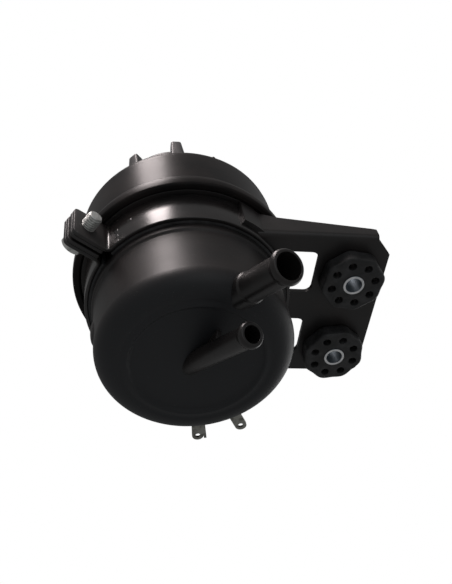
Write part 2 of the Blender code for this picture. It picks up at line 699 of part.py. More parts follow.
def bolt_point(along):
    """A point on the clamp bolt's axis, its distance from the split measured round the canister."""
    side = Vector((-math.sin(EAR_AZIMUTH), math.cos(EAR_AZIMUTH), 0))
    return polar(BAND_OUTER + BOLT_OFFSET, EAR_AZIMUTH, BAND_BOTTOM + BAND_WIDTH / 2) + side * along


def clamp_band(finish):
    outline = clamp_ring_outline(BAND_INNER, BAND_OUTER, EAR_GAP / 2, EAR_HALF, BAND_OUTER + EAR_REACH)
    made = plate("clamp_band", [outline], BAND_BOTTOM, BAND_WIDTH, finish)
    reach = 2 * EAR_HALF
    cut(made, rod("ear_hole", BOLT_RADIUS + HOLE_CLEARANCE, bolt_point(-reach), bolt_point(reach)))
    return made


def band_liner(finish):
    outline = clamp_ring_outline(LINER_INNER, LINER_INNER + LINER_THICKNESS, EAR_GAP)
    return plate("band_liner", [outline], BAND_BOTTOM + LINER_INSET, BAND_WIDTH - 2 * LINER_INSET, finish)


def clamp_washer(finish):
    near = EAR_HALF + JOIN_GAP
    made = rod("clamp_washer", WASHER_RADIUS, bolt_point(-near - WASHER_THICKNESS), bolt_point(-near), finish)
    cut(made, rod("washer_hole", BOLT_RADIUS + HOLE_CLEARANCE, bolt_point(-near - 2 * WASHER_THICKNESS),
                  bolt_point(0)))
    return made


def clamp_bolt(finish):
    """Hexagon bolt along its own +Z, from the head's top to the threaded tip."""
    head_end = -(EAR_HALF + 2 * JOIN_GAP + WASHER_THICKNESS)
    head_start = head_end - BOLT_HEAD_HEIGHT
    across_corners = BOLT_HEAD_ACROSS_FLATS / math.cos(math.radians(30)) / 2
    made = rod("clamp_bolt", across_corners, bolt_point(head_start), bolt_point(head_end), finish, steps=6)
    join(made, rod("bolt_shank", BOLT_RADIUS, bolt_point(head_start + BOLT_HEAD_HEIGHT / 2), bolt_point(BOLT_TIP),
                   steps=16))
    return made


# --- Bracket --------------------------------------------------------------------------------------------

def bushing_centres():
    half = BUSHING_SPACING / 2
    return [(BUSHING_REACH, BUSHING_SHIFT - half), (BUSHING_REACH, BUSHING_SHIFT + half)]


def on_band(y):
    """X on the band's outside, plus the joining gap, at a given Y."""
    return math.sqrt(BAND_CLEAR ** 2 - y ** 2)


def band_arc(start_y, end_y, steps=4):
    start = math.degrees(math.asin(start_y / BAND_CLEAR))
    end = math.degrees(math.asin(end_y / BAND_CLEAR))
    return arc((0, 0), BAND_CLEAR, start, end, steps)


def plate_outline():
    """The plate's edge: three arms reach the band, and the spine beyond them carries the bushings."""
    left = BUSHING_REACH - SPINE_LEFT
    right = BUSHING_REACH + SPINE_RIGHT
    low_window = PLATE_LOW_Y + LOW_ARM
    high_window = PLATE_HIGH_Y - HIGH_ARM
    middle_low = MIDDLE_ARM_Y - MIDDLE_ARM / 2
    middle_high = MIDDLE_ARM_Y + MIDDLE_ARM / 2
    corner = WINDOW_CORNER
    points = [(right - SPINE_CHAMFER[0], PLATE_LOW_Y), (right, PLATE_LOW_Y + SPINE_CHAMFER[1])]
    points += arc((right - corner, PLATE_HIGH_Y - corner), corner, 0, 90, 3)
    points += band_arc(PLATE_HIGH_Y, high_window)
    points += arc((left - corner, high_window - corner), corner, 90, 0, 3)
    points += arc((left - corner, middle_high + corner), corner, 0, -90, 3)
    points += band_arc(middle_high, middle_low)
    points += arc((left - corner, middle_low - corner), corner, 90, 0, 3)
    points += arc((left - corner, low_window + corner), corner, 0, -90, 3)
    points += band_arc(low_window, PLATE_LOW_Y)
    return points


def bracket(finish):
    """One stamping: flat plate, a folded flange along one long edge, and a tab that wraps the band."""
    holes = [circle(BUSHING_NECK + JOIN_GAP, centre, SMALL_STEPS * 2) for centre in bushing_centres()]
    made = plate("bracket", [plate_outline()] + holes, PLATE_BOTTOM, PLATE_THICKNESS, finish)
    far = BUSHING_REACH + SPINE_RIGHT - SPINE_CHAMFER[0]
    overlap = PLATE_THICKNESS / 2
    near = on_band(PLATE_LOW_Y + overlap / 2)
    knee = near + 0.2 * (far - near)
    tab_bottom = BAND_TOP - TAB_TOP_GAP - TAB_HEIGHT
    tab_top = BAND_TOP - TAB_TOP_GAP
    side = [(near, PLATE_BOTTOM), (far, PLATE_BOTTOM), (far, PLATE_BOTTOM + FLANGE_SHORT),
            (knee, PLATE_BOTTOM + FLANGE_TALL), (near, tab_top), (near, tab_bottom)]
    flange = plate("bracket_flange", [side], 0, PLATE_THICKNESS)
    upright = Matrix.Rotation(math.pi / 2, 4, "X")
    flange.data.transform(Matrix.Translation((0, PLATE_LOW_Y + overlap / 2, 0)) @ upright)
    start = math.asin(PLATE_LOW_Y / BAND_CLEAR)
    first = math.degrees(start) + TAB_OVERLAP
    last = math.degrees(start - TAB_SWEEP)
    wrap = arc((0, 0), BAND_CLEAR, first, last, 6) + arc((0, 0), BAND_CLEAR + PLATE_THICKNESS, last, first, 6)
    tab = plate("bracket_tab", [wrap], tab_bottom, TAB_HEIGHT)
    join(made, flange, tab)
    return made


# --- Bushings -------------------------------------------------------------------------------------------

def bushing(name, centre, turn, finish):
    """Rubber bushing: a scalloped flange each side of the plate, eight soft holes and a bore for the sleeve."""
    bottom = PLATE_BOTTOM - JOIN_GAP - BUSHING_FLANGE
    tall = 2 * (BUSHING_FLANGE + JOIN_GAP) + PLATE_THICKNESS
    steps = 6 * BUSHING_HOLES
    outline = []
    for index in range(steps):
        angle = math.tau * index / steps
        radius = BUSHING_RADIUS + BUSHING_SCALLOP * math.cos(BUSHING_HOLES * angle)
        outline.append((radius * math.cos(angle), radius * math.sin(angle)))
    holes = [circle(SLEEVE_OUTER / 2 + JOIN_GAP)]
    for index in range(BUSHING_HOLES):
        spot = polar(BUSHING_HOLE_CIRCLE, math.tau * index / BUSHING_HOLES)
        holes.append(circle(BUSHING_HOLE_RADIUS, (spot.x, spot.y), 8))
    made = plate(name, [outline] + holes, bottom, tall, finish)
    made.location = (*centre, 0)
    made.rotation_euler.z = turn
    groove = ring(name + "_groove", BUSHING_NECK, 2 * BUSHING_RADIUS, PLATE_BOTTOM - JOIN_GAP,
                  PLATE_BOTTOM + PLATE_THICKNESS + JOIN_GAP)
    groove.location = (*centre, 0)
    cut(made, groove)
    return made


def sleeve(name, centre, finish):
    made = ring(name, SLEEVE_BORE / 2, SLEEVE_OUTER / 2, SLEEVE_BOTTOM, SLEEVE_BOTTOM + SLEEVE_LENGTH, finish,
                SMALL_STEPS)
    made.location = (*centre, 0)
    return made


# --- Hose clip ------------------------------------------------------------------------------------------

def rivet_ends(depth):
    """The ends of the rivet's shank, a given depth inside the wall and just outside the clip."""
    inside = BODY_RADIUS - 2 * depth
    outside = BODY_RADIUS + JOIN_GAP + CLIP_SHEET + JOIN_GAP
    return polar(inside, CLIP_AZIMUTH, CLIP_HEIGHT), polar(outside, CLIP_AZIMUTH, CLIP_HEIGHT)


def hose_clip(finish):
    """A strap curved to the canister with two drilled lugs, one of them with a splayed leg beside it."""
    inner = BODY_RADIUS + JOIN_GAP
    outer = inner + CLIP_SHEET
    sweep = math.degrees((CLIP_LUG_SPAN + CLIP_LUG_WIDTH) / 2 / inner)
    middle = math.degrees(CLIP_AZIMUTH)
    strap = arc((0, 0), outer, middle - sweep, middle + sweep, 8)
    strap += arc((0, 0), inner, middle + sweep, middle - sweep, 8)
    made = plate("hose_clip", [strap], CLIP_HEIGHT - CLIP_WIDTH / 2, CLIP_WIDTH, finish)
    lug_bottom = CLIP_HEIGHT - CLIP_WIDTH / 2
    half = CLIP_LUG_WIDTH / 2
    for index, side in enumerate((-1, 1)):
        azimuth = CLIP_AZIMUTH + side * CLIP_LUG_SPAN / 2 / inner
        start = outer - CLIP_SHEET / 2
        tip = outer + CLIP_LUG_REACH - half
        outline = [(start, -half)] + arc((tip, 0), half, -90, 90, 6) + [(start, half)]
        hole = circle(CLIP_LUG_HOLE, (tip, 0), HOLE_STEPS)
        lug = plate(f"clip_lug_{index + 1}", [outline, hole], lug_bottom, CLIP_SHEET)
        lug.rotation_euler.z = azimuth
        join(made, lug)
    leg_middle = outer + CLIP_LUG_REACH / 2 - CLIP_SHEET / 2
    leg = block("clip_leg", (CLIP_LUG_REACH, CLIP_SHEET, CLIP_WIDTH), (leg_middle, 0, CLIP_HEIGHT))
    leg.rotation_euler.z = CLIP_AZIMUTH + (CLIP_LUG_SPAN / 2 - half) / inner
    join(made, leg)
    cut(made, rod("clip_hole", RIVET_RADIUS + HOLE_CLEARANCE, *rivet_ends(BODY_WALL), steps=HOLE_STEPS))
    return made


def clip_rivet(finish):
    inside, outside = rivet_ends(BODY_WALL / 2)
    out = polar(1, CLIP_AZIMUTH)
    made = rod("clip_rivet", RIVET_RADIUS, inside, outside + out * RIVET_HEAD / 2, finish, HOLE_STEPS)
    join(made, rod("rivet_head", RIVET_RADIUS * 1.7, outside, outside + out * RIVET_HEAD, steps=HOLE_STEPS))
    return made


for old in list(bpy.data.objects):
    bpy.data.objects.remove(old)

PARTS = collection("hydraulic_reservoir")
CUTTERS = collection("cutters")
AXIS = bpy.data.objects.new("canister_axis", None)
PARTS.objects.link(AXIS)
AXIS.location = (-BUSHING_REACH, -BUSHING_SHIFT, -SLEEVE_BOTTOM)

BLACK_STEEL = material("black_steel", (0.018, 0.017, 0.017), 0.38, 0.3)
BLACK_PLASTIC = material("black_plastic", (0.02, 0.02, 0.02), 0.5, 0.0)
BLACK_RUBBER = material("black_rubber", (0.015, 0.015, 0.015), 0.75, 0.0)
ZINC = material("zinc", (0.6, 0.61, 0.6), 0.35, 1.0)
CLIP_STEEL = material("clip_steel", (0.3, 0.3, 0.27), 0.5, 0.7)
FILTER_PAPER = material("filter_paper", (0.75, 0.62, 0.4), 0.9, 0.0)
FOAM = material("foam", (0.1, 0.1, 0.11), 0.95, 0.0)

canister(BLACK_STEEL)
suction_nipple(BLACK_STEEL.copy())
return_nipple(BLACK_STEEL.copy())
cover(BLACK_STEEL.copy())
cover_seal(BLACK_RUBBER)
filler_cap(BLACK_PLASTIC)
cap_seal(BLACK_RUBBER.copy())
cap_insert(BLACK_PLASTIC.copy())
breather_foam(FOAM)
dipstick(ZINC)
filter_seat(ZINC.copy())
filter_bottom_cap(ZINC.copy())
filter_core(ZINC.copy())
filter_element(FILTER_PAPER)
filter_top_cap(ZINC.copy())
filter_spring(ZINC.copy())
clamp_band(BLACK_STEEL.copy())
band_liner(BLACK_RUBBER.copy())
clamp_washer(ZINC.copy())
clamp_bolt(ZINC.copy())
bracket(BLACK_STEEL.copy())
for number, place in enumerate(bushing_centres(), start=1):
    bushing(f"bushing_{number}", place, BUSHING_TURNS[number - 1], BLACK_RUBBER.copy())
    sleeve(f"sleeve_{number}", place, ZINC.copy())
hose_clip(CLIP_STEEL)
clip_rivet(ZINC.copy())
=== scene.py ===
import math

import bmesh
import bpy
from mathutils import Matrix, Vector


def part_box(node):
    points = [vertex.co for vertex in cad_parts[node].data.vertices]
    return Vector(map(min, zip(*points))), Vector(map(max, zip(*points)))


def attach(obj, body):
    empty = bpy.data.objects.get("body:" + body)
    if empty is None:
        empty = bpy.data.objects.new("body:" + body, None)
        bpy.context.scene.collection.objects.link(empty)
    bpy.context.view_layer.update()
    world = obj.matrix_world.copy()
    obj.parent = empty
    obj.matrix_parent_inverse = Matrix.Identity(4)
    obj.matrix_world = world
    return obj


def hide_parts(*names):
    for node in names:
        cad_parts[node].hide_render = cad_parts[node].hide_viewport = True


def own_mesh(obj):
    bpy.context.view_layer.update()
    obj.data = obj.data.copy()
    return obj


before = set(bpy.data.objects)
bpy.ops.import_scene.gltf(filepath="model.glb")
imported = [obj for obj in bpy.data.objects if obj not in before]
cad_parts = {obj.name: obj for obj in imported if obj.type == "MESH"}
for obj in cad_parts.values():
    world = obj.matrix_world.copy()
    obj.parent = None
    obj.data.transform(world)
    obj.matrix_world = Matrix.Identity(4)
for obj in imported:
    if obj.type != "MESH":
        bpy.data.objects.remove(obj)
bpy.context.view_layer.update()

mm = 0.001


def inMm(**lengths):  # the lengths of a piece, given in millimetres
    return {name: length * mm for name, length in lengths.items()}


def profileInMm(points, base=0.0):  # radius, height over the base and corner of each point, in millimetres
    return [(r * mm, base + z * mm, corner * mm) for r, z, corner in points]


low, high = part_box("canister")
axis = Vector(((low[0] + high[0]) / 2, (low[1] + high[1]) / 2, low[2]))  # canister axis at its base
bandLow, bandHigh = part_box("clamp_band")
coverLow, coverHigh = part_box("cover")
capLow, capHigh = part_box("filler_cap")
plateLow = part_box("bracket")[0]


def above(level):
    return level - axis.z  # a frame height as a height over the base


# Trees: a wire is a socket that does sums, a maker adds nodes

class Wire:
    def __init__(self, maker, socket):
        self.maker = maker
        self.socket = socket

    def maths(self, operation, *others):
        return self.maker.node("ShaderNodeMath", {"operation": operation}, [self, *others])

    def __add__(self, other):
        return self.maths("ADD", other)

    def __radd__(self, other):
        return self.maths("ADD", other)

    def __sub__(self, other):
        return self.maths("SUBTRACT", other)

    def __rsub__(self, other):
        return self.maker.node("ShaderNodeMath", {"operation": "SUBTRACT"}, [other, self])

    def __mul__(self, other):
        return self.maths("MULTIPLY", other)

    def __rmul__(self, other):
        return self.maths("MULTIPLY", other)

    def __truediv__(self, other):
        return self.maths("DIVIDE", other)

    def ease(self, start, end):
        ranged = {"interpolation_type": "SMOOTHSTEP"}
        return self.maker.node("ShaderNodeMapRange", ranged, [self, start, end, 0.0, 1.0])


class Maker:
    def __init__(self, tree):
        self.tree = tree

    def node(self, kind, settings=None, values=(), out=0):
        made = self.tree.nodes.new(kind)
        for key, value in (settings or {}).items():
            setattr(made, key, value)
        pairs = values.items() if isinstance(values, dict) else enumerate(values)
        for key, value in pairs:
            if isinstance(value, Wire):
                self.tree.links.new(value.socket, made.inputs[key])
            else:
                made.inputs[key].default_value = value
        return Wire(self, made.outputs[out])

    def split(self, wire):
        xyz = self.node("ShaderNodeSeparateXYZ", None, [wire])
        return [Wire(self, socket) for socket in xyz.socket.node.outputs]

    def join(self, x, y, z):
        return self.node("ShaderNodeCombineXYZ", None, [x, y, z])

    def blend(self, factor, first, second):
        return self.node("ShaderNodeMix", {"data_type": "RGBA"}, {0: factor, 6: first, 7: second}, 2)

    def noise(self, place, scale, detail=2.0, roughness=0.5):
        return self.node("ShaderNodeTexNoise", None, {"Vector": place, "Scale": scale, "Detail": detail,
                                                      "Roughness": roughness})


# Materials

def paint(red, green, blue):
    return (red, green, blue, 1.0)


def newMaterial(name):
    made = bpy.data.materials.new(name)
    made.use_nodes = True
    maker = Maker(made.node_tree)
    shader = made.node_tree.nodes["Principled BSDF"]
    place = maker.node("ShaderNodeTexCoord", None, (), 3)
    centred = maker.node("ShaderNodeMapping", None, {"Vector": place, "Location": tuple(-axis)})
    return made, maker, shader, centred


def connect(maker, shader, inputs):
    for key, value in inputs.items():
        if isinstance(value, Wire):
            maker.tree.links.new(value.socket, shader.inputs[key])
        else:
            shader.inputs[key].default_value = value


def bump(maker, height, depth, strength=1.0, normal=None):
    values = {"Strength": strength, "Distance": depth, "Height": height}
    if normal:
        values["Normal"] = normal
    return maker.node("ShaderNodeBump", None, values)


enamel = {
    "dark": paint(0.0105, 0.0098, 0.0100),
    "warm": paint(0.0195, 0.0165, 0.0160),
    "satin": 0.30,
    "matt": 0.52,
    "mattBelow": 0.5 * mm,
    "satinAbove": 13 * mm,
    "streak": 0.05,
    "specular": 0.5,
    "mattTone": paint(0.0150, 0.0165, 0.0190),
    "speck": paint(0.10, 0.10, 0.10),
    "specks": 0.4,
}


def makeEnamel(name, look, mattBase=False, streakScale=900.0):
    made, maker, shader, centred = newMaterial(name)
    x, y, z = maker.split(centred)
    radius = maker.node("ShaderNodeVectorMath", {"operation": "LENGTH"}, [maker.join(x, y, 0.0)], 1)
    ringed = maker.join(x / radius * 2.5, y / radius * 2.5, z * streakScale)
    streaks = maker.noise(ringed, 1.0, 3.0, 0.6)
    mottling = maker.noise(centred, 38.0, 4.0)
    grain = maker.noise(centred, 2600.0, 2.0)
    specks = maker.noise(centred, 1500.0, 1.0).ease(0.735, 0.77)
    tone = maker.blend(mottling.ease(0.35, 0.7), look["dark"], look["warm"])
    colour = maker.blend(specks * look["specks"], tone, look["speck"])
    rough = look["satin"] + (streaks - 0.5) * look["streak"] * 2.0 + (mottling - 0.5) * 0.06
    if mattBase:
        height = z.ease(look["mattBelow"], look["satinAbove"])
        rough = rough * height + (1 - height) * (look["matt"] + (grain - 0.5) * 0.1)
        matt = maker.blend(specks * look["specks"], look["mattTone"], look["speck"])
        colour = maker.blend(height, matt, colour)
    if "dullBeyond" in look:
        away = radius.ease(look["dullBeyond"], look["dullBeyond"] + 3 * mm)
        rough = rough * (1 - away) + away * look["matt"]
    relief = bump(maker, streaks, 0.006 * mm, 0.5)
    relief = bump(maker, grain, 0.012 * mm, 0.5, relief)
    connect(maker, shader, {"Base Color": colour, "Roughness": rough, "Normal": relief,
                            "Specular IOR Level": look["specular"]})
    return made


rubberLook = {"dark": paint(0.016, 0.0165, 0.017), "dusty": paint(0.044, 0.045, 0.047), "rough": 0.54}


def makeRubber(name, look):
    made, maker, shader, centred = newMaterial(name)
    cloud = maker.noise(centred, 120.0, 5.0, 0.65)
    grain = maker.noise(centred, 3200.0, 2.0)
    colour = maker.blend(cloud.ease(0.35, 0.75), look["dark"], look["dusty"])
    rough = look["rough"] + (cloud - 0.5) * 0.25
    relief = bump(maker, grain, 0.03 * mm, 0.6)
    connect(maker, shader, {"Base Color": colour, "Roughness": rough, "Normal": relief,
                            "Specular IOR Level": 0.4})
    return made


plasticLook = {"dark": paint(0.014, 0.014, 0.015), "light": paint(0.026, 0.026, 0.027), "rough": 0.46}


def makePlastic(name, look):
    made, maker, shader, centred = newMaterial(name)
    cloud = maker.noise(centred, 60.0, 4.0)
    pits = maker.node("ShaderNodeTexVoronoi", None, {"Vector": centred, "Scale": 1400.0})
    colour = maker.blend(cloud.ease(0.3, 0.8), look["dark"], look["light"])
    rough = look["rough"] + (cloud - 0.5) * 0.16
    relief = bump(maker, pits, 0.03 * mm, 0.5)
    connect(maker, shader, {"Base Color": colour, "Roughness": rough, "Normal": relief})
    return made


metals = {
    "zinc": {"clean": paint(0.72, 0.73, 0.71), "dull": paint(0.42, 0.43, 0.42), "rough": 0.42, "metal": 0.7},
    # The sleeve's "bore" colour is painted shade: a darker, bluer colour on every side face, bore and outside
    # alike, with a rougher finish there; the end faces keep the plain steel colour
    "sleeve": {"clean": paint(0.90, 0.91, 0.92), "dull": paint(0.70, 0.72, 0.74), "rough": 0.5,
               "bore": paint(0.20, 0.24, 0.27), "boreRough": 0.62},
    "clip": {"clean": paint(0.36, 0.36, 0.33), "dull": paint(0.13, 0.13, 0.11), "rough": 0.42},
    "spring": {"clean": paint(0.42, 0.40, 0.36), "dull": paint(0.16, 0.15, 0.13), "rough": 0.32},
}


def makeMetal(name, look):
    made, maker, shader, centred = newMaterial(name)
    stain = maker.noise(centred, 260.0, 5.0, 0.6)
    drawn = maker.node("ShaderNodeMapping", None, {"Vector": centred, "Scale": (1.0, 1.0, 14.0)})
    scratch = maker.noise(drawn, 700.0, 3.0)
    colour = maker.blend(stain.ease(0.42, 0.72), look["clean"], look["dull"])
    rough = look["rough"] + (stain - 0.5) * 0.22 + (scratch - 0.5) * 0.12
    # Painted shade on sleeves: side faces take the darker "bore" colour as the shade inside the bore, and
    # faces square to the axis keep the steel colour
    if "bore" in look:
        along = maker.split(maker.node("ShaderNodeTexCoord", None, (), 1))[2]
        face = along.maths("ABSOLUTE").ease(0.2, 0.7)
        colour = maker.blend(face, look["bore"], colour)
        rough = rough * face + (1 - face) * look["boreRough"]
    relief = bump(maker, scratch, 0.004 * mm, 0.3)
    connect(maker, shader, {"Base Color": colour, "Roughness": rough, "Normal": relief,
                            "Metallic": look.get("metal", 1.0)})
    return made


soft = {
    "paper": {"first": paint(0.62, 0.50, 0.30), "second": paint(0.78, 0.68, 0.47), "grain": 900.0},
    "foam": {"first": paint(0.03, 0.03, 0.035), "second": paint(0.10, 0.10, 0.11), "grain": 1300.0},
}


def makeSoft(name, look):
    made, maker, shader, centred = newMaterial(name)
    fibres = maker.noise(centred, look["grain"], 5.0, 0.7)
    colour = maker.blend(fibres.ease(0.3, 0.7), look["first"], look["second"])
    relief = bump(maker, fibres, 0.15 * mm, 0.8)
    connect(maker, shader, {"Base Color": colour, "Roughness": 0.92, "Normal": relief})
    return made


tankEnamel = makeEnamel("tank_enamel", dict(enamel, satin=0.44, specular=0.4), mattBase=True)
coverEnamel = makeEnamel("cover_enamel", dict(enamel, satin=0.31, specular=0.09))
bandLook = dict(enamel, satin=0.23, streak=0.03, specular=0.8, specks=0.12, dullBeyond=56 * mm)
bandEnamel = makeEnamel("band_enamel", bandLook, streakScale=700.0)
portEnamel = makeEnamel("port_enamel", dict(enamel, satin=0.33, streak=0.02))
bracketEnamel = makeEnamel("bracket_enamel", dict(enamel, satin=0.40, streak=0.02))
rubber = makeRubber("bushing_rubber", rubberLook)
sealRubber = makeRubber("seal_rubber", dict(rubberLook, rough=0.45))
capPlastic = makePlastic("cap_plastic", plasticLook)
zinc = makeMetal("bright_zinc", metals["zinc"])
sleeveSteel = makeMetal("sleeve_steel", metals["sleeve"])
clipSteel = makeMetal("clip_steel", metals["clip"])
springSteel = makeMetal("spring_steel", metals["spring"])
paper = makeSoft("filter_paper", soft["paper"])
foam = makeSoft("breather_foam", soft["foam"])
print("materials ready")


# Mesh helpers: shapes are drawn round the canister's axis with the base at zero, and moved once at the end

def soften(points, steps=5):
    closed = points[0][0] > 0
    rounded = []
    count = len(points)
    for index, (r, z, corner) in enumerate(points):
        here = Vector((r, z))
        ends = not closed and index in (0, count - 1)
        if corner <= 0 or ends:
            rounded.append((r, z))
            continue
        before = Vector(points[index - 1][:2]) - here
        after = Vector(points[(index + 1) % count][:2]) - here
        reach = min(corner, 0.48 * before.length, 0.48 * after.length)
        start = here + before.normalized() * reach
        end = here + after.normalized() * reach
        for step in range(steps + 1):
            t = step / steps
            rounded.append(tuple(start * (1 - t) ** 2 + here * (2 * t * (1 - t)) + end * t ** 2))
    return rounded


def revolve(points, steps=144):  # a profile that starts on the axis is open, any other is a loop
    closed = points[0][0] > 0
    shape = bmesh.new()
    verts = [shape.verts.new((r, 0, z)) for r, z in points]
    edges = [shape.edges.new(pair) for pair in zip(verts, verts[1:])]
    if closed:
        edges.append(shape.edges.new((verts[-1], verts[0])))
    bmesh.ops.spin(shape, geom=verts + edges, axis=(0, 0, 1), cent=(0, 0, 0), angle=math.tau, steps=steps,
                   use_merge=True)
    bmesh.ops.remove_doubles(shape, verts=shape.verts, dist=0.0000005)
    return shape


def lathe(points, steps=144):
    return loose(revolve(soften(points), steps))


def outlineSolid(outlines, bottom, thickness):
    flat = bpy.data.curves.new("outline", "CURVE")
    flat.dimensions = "2D"
    flat.fill_mode = "BOTH"
    flat.extrude = thickness / 2
    for outline in outlines:
        spline = flat.splines.new("POLY")
        spline.points.add(len(outline) - 1)
        for point, (x, y) in zip(spline.points, outline):
            point.co = (x, y, 0, 1)
        spline.use_cyclic_u = True
    shape = bmesh.new()
    shape.from_mesh(plainMesh(bpy.data.objects.new("outline", flat)))
    bmesh.ops.remove_doubles(shape, verts=shape.verts, dist=0.000001)
    bmesh.ops.dissolve_limit(shape, angle_limit=0.001, verts=shape.verts, edges=shape.edges)
    bmesh.ops.translate(shape, verts=shape.verts, vec=(0, 0, bottom + thickness / 2))
    return shape


def box(size, centre):
    shape = bmesh.new()
    bmesh.ops.create_cube(shape, size=1.0)
    bmesh.ops.scale(shape, vec=size, verts=shape.verts)
    bmesh.ops.translate(shape, vec=centre, verts=shape.verts)
    return shape


def rodShape(radius, start, end, steps=48):
    start = Vector(start)
    end = Vector(end)
    shape = bmesh.new()
    length = (end - start).length
    bmesh.ops.create_cone(shape, cap_ends=True, segments=steps, radius1=radius, radius2=radius, depth=length)
    turn = (end - start).to_track_quat("Z", "Y").to_matrix().to_4x4()
    shape.transform(Matrix.Translation((start + end) / 2) @ turn)
    return shape


def inScene(name, data):
    made = bpy.data.objects.new(name, data)
    bpy.context.scene.collection.objects.link(made)
    return made


def loose(shape, name="loose"):
    mesh = bpy.data.meshes.new(name)
    bmesh.ops.recalc_face_normals(shape, faces=shape.faces)
    shape.to_mesh(mesh)
    shape.free()
    return inScene(name, mesh)


def plainMesh(made):
    if made.name not in bpy.context.scene.collection.objects:
        bpy.context.scene.collection.objects.link(made)
    bpy.context.view_layer.update()
    mesh = bpy.data.meshes.new_from_object(made.evaluated_get(bpy.context.evaluated_depsgraph_get()))
    bpy.data.objects.remove(made)
    return mesh


def settled(made):
    name = made.name
    return inScene(name, plainMesh(made))


def bevelled(made, width, segments=3, angle=32):
    edge = made.modifiers.new("edge", "BEVEL")
    edge.width = width
    edge.segments = segments
    edge.limit_method = "ANGLE"
    edge.angle_limit = math.radians(angle)
    edge.harden_normals = False
    return settled(made)


def combined(made, tools, operation="UNION"):
    for tool in tools:
        step = made.modifiers.new("step", "BOOLEAN")
        step.operation = operation
        step.object = tool
        step.solver = "EXACT"
    made = settled(made)
    for tool in tools:
        bpy.data.objects.remove(tool)
    return made


def carved(made, *tools):
    return combined(made, tools, "DIFFERENCE")


def piece(name, made, material, body, nodes=(), sharp=38, place=None):
    shape = bmesh.new()
    shape.from_mesh(made.data)
    bpy.data.objects.remove(made)
    bmesh.ops.remove_doubles(shape, verts=shape.verts, dist=0.000001)
    bmesh.ops.recalc_face_normals(shape, faces=shape.faces)
    if place:
        shape.transform(place)
    shape.transform(Matrix.Translation(axis))
    mesh = bpy.data.meshes.new(name)
    shape.to_mesh(mesh)
    shape.free()
    mesh.shade_smooth()
    mesh.set_sharp_from_angle(angle=math.radians(sharp))
    mesh.materials.clear()
    mesh.materials.append(material)
    done = inScene(name, mesh)
    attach(done, body)
    if nodes:
        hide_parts(*nodes)
    return done


def spun(angle, direction="Z"):
    return Matrix.Rotation(angle, 4, direction)


def polar(radius, azimuth, z=0.0):
    return Vector((radius * math.cos(azimuth), radius * math.sin(azimuth), z))


def arc(centre, radius, start, end, steps=12):
    points = []
    for step in range(steps + 1):
        angle = math.radians(start + (end - start) * step / steps)
        points.append((centre[0] + radius * math.cos(angle), centre[1] + radius * math.sin(angle)))
    return points


# Geometry Nodes trees

def newTree(name, inputs):
    tree = bpy.data.node_groups.new(name, "GeometryNodeTree")
    tree.interface.new_socket("Geometry", in_out="INPUT", socket_type="NodeSocketGeometry")
    for label, value in inputs.items():
        kind = "NodeSocketInt" if isinstance(value, int) else "NodeSocketFloat"
        made = tree.interface.new_socket(label, in_out="INPUT", socket_type=kind)
        made.default_value = value
    tree.interface.new_socket("Material", in_out="INPUT", socket_type="NodeSocketMaterial")
    tree.interface.new_socket("Geometry", in_out="OUTPUT", socket_type="NodeSocketGeometry")
    maker = Maker(tree)
    source = tree.nodes.new("NodeGroupInput")
    given = {socket.name: Wire(maker, socket) for socket in source.outputs if socket.name}
    return tree, maker, given


def endTree(maker, geometry, material):
    real = maker.node("GeometryNodeRealizeInstances", None, [geometry])
    dressed = maker.node("GeometryNodeSetMaterial", None, {"Geometry": real, "Material": material})
    finish = maker.tree.nodes.new("NodeGroupOutput")
    maker.tree.links.new(dressed.socket, finish.inputs[0])


def threadTree():
    inputs = {"Radius": 0.003, "Length": 0.02, "Pitch": 0.001, "Depth": 0.0005, "Run-out": 0.001,
              "Rings": 200}
    tree, maker, given = newTree("screw_thread", inputs)
    bar = maker.node("GeometryNodeMeshCylinder", None,
                     {"Vertices": 72, "Side Segments": given["Rings"], "Radius": given["Radius"],
                      "Depth": given["Length"]})
    x, y, z = maker.split(maker.node("GeometryNodeInputPosition"))
    around = y.maths("ARCTAN2", x) / math.tau
    turns = (z / given["Pitch"] - around).maths("FRACT")
    flank = (turns - 0.5).maths("ABSOLUTE") * 2.0
    cutDepth = flank.ease(0.15, 0.85) * given["Depth"]
    toEnd = given["Length"] / 2.0 - z.maths("ABSOLUTE")
    chamfer = (1.0 - toEnd / given["Run-out"]) * given["Depth"]
    deeper = cutDepth.maths("MAXIMUM", chamfer)
    radius = maker.node("ShaderNodeVectorMath", {"operation": "LENGTH"}, [maker.join(x, y, 0.0)], 1)
    inward = (deeper * -1.0) / given["Radius"]
    offset = maker.join(x * inward, y * inward, 0.0)
    onSide = maker.node("FunctionNodeCompare", {"operation": "GREATER_THAN"}, [radius, 0.00001])
    cut = maker.node("GeometryNodeSetPosition", None,
                     {"Geometry": bar, "Offset": offset, "Selection": onSide})
    endTree(maker, cut, given["Material"])
    return tree


def ringTree():
    tree, maker, given = newTree("ring_of_copies", {"Count": 8, "Radius": 0.01})
    places = maker.node("GeometryNodeMeshCircle", None,
                        {"Vertices": given["Count"], "Radius": given["Radius"]})
    x, y = maker.split(maker.node("GeometryNodeInputPosition"))[:2]
    around = y.maths("ARCTAN2", x)
    copies = maker.node("GeometryNodeInstanceOnPoints", None,
                        {"Points": places, "Instance": given["Geometry"],
                         "Rotation": maker.join(0.0, 0.0, around)})
    endTree(maker, copies, given["Material"])
    return tree


def coilTree():
    inputs = {"Turns": 4.0, "Radius": 0.03, "Height": 0.02, "Wire": 0.001}
    tree, maker, given = newTree("wire_coil", inputs)
    path = maker.node("GeometryNodeCurveSpiral", None,
                      {"Resolution": 64, "Rotations": given["Turns"], "Start Radius": given["Radius"],
                       "End Radius": given["Radius"], "Height": given["Height"]})
    section = maker.node("GeometryNodeCurvePrimitiveCircle", None,
                         {"Resolution": 16, "Radius": given["Wire"]})
    wire = maker.node("GeometryNodeCurveToMesh", None, {"Curve": path, "Profile Curve": section,
                                                        "Fill Caps": True})
    endTree(maker, wire, given["Material"])
    return tree


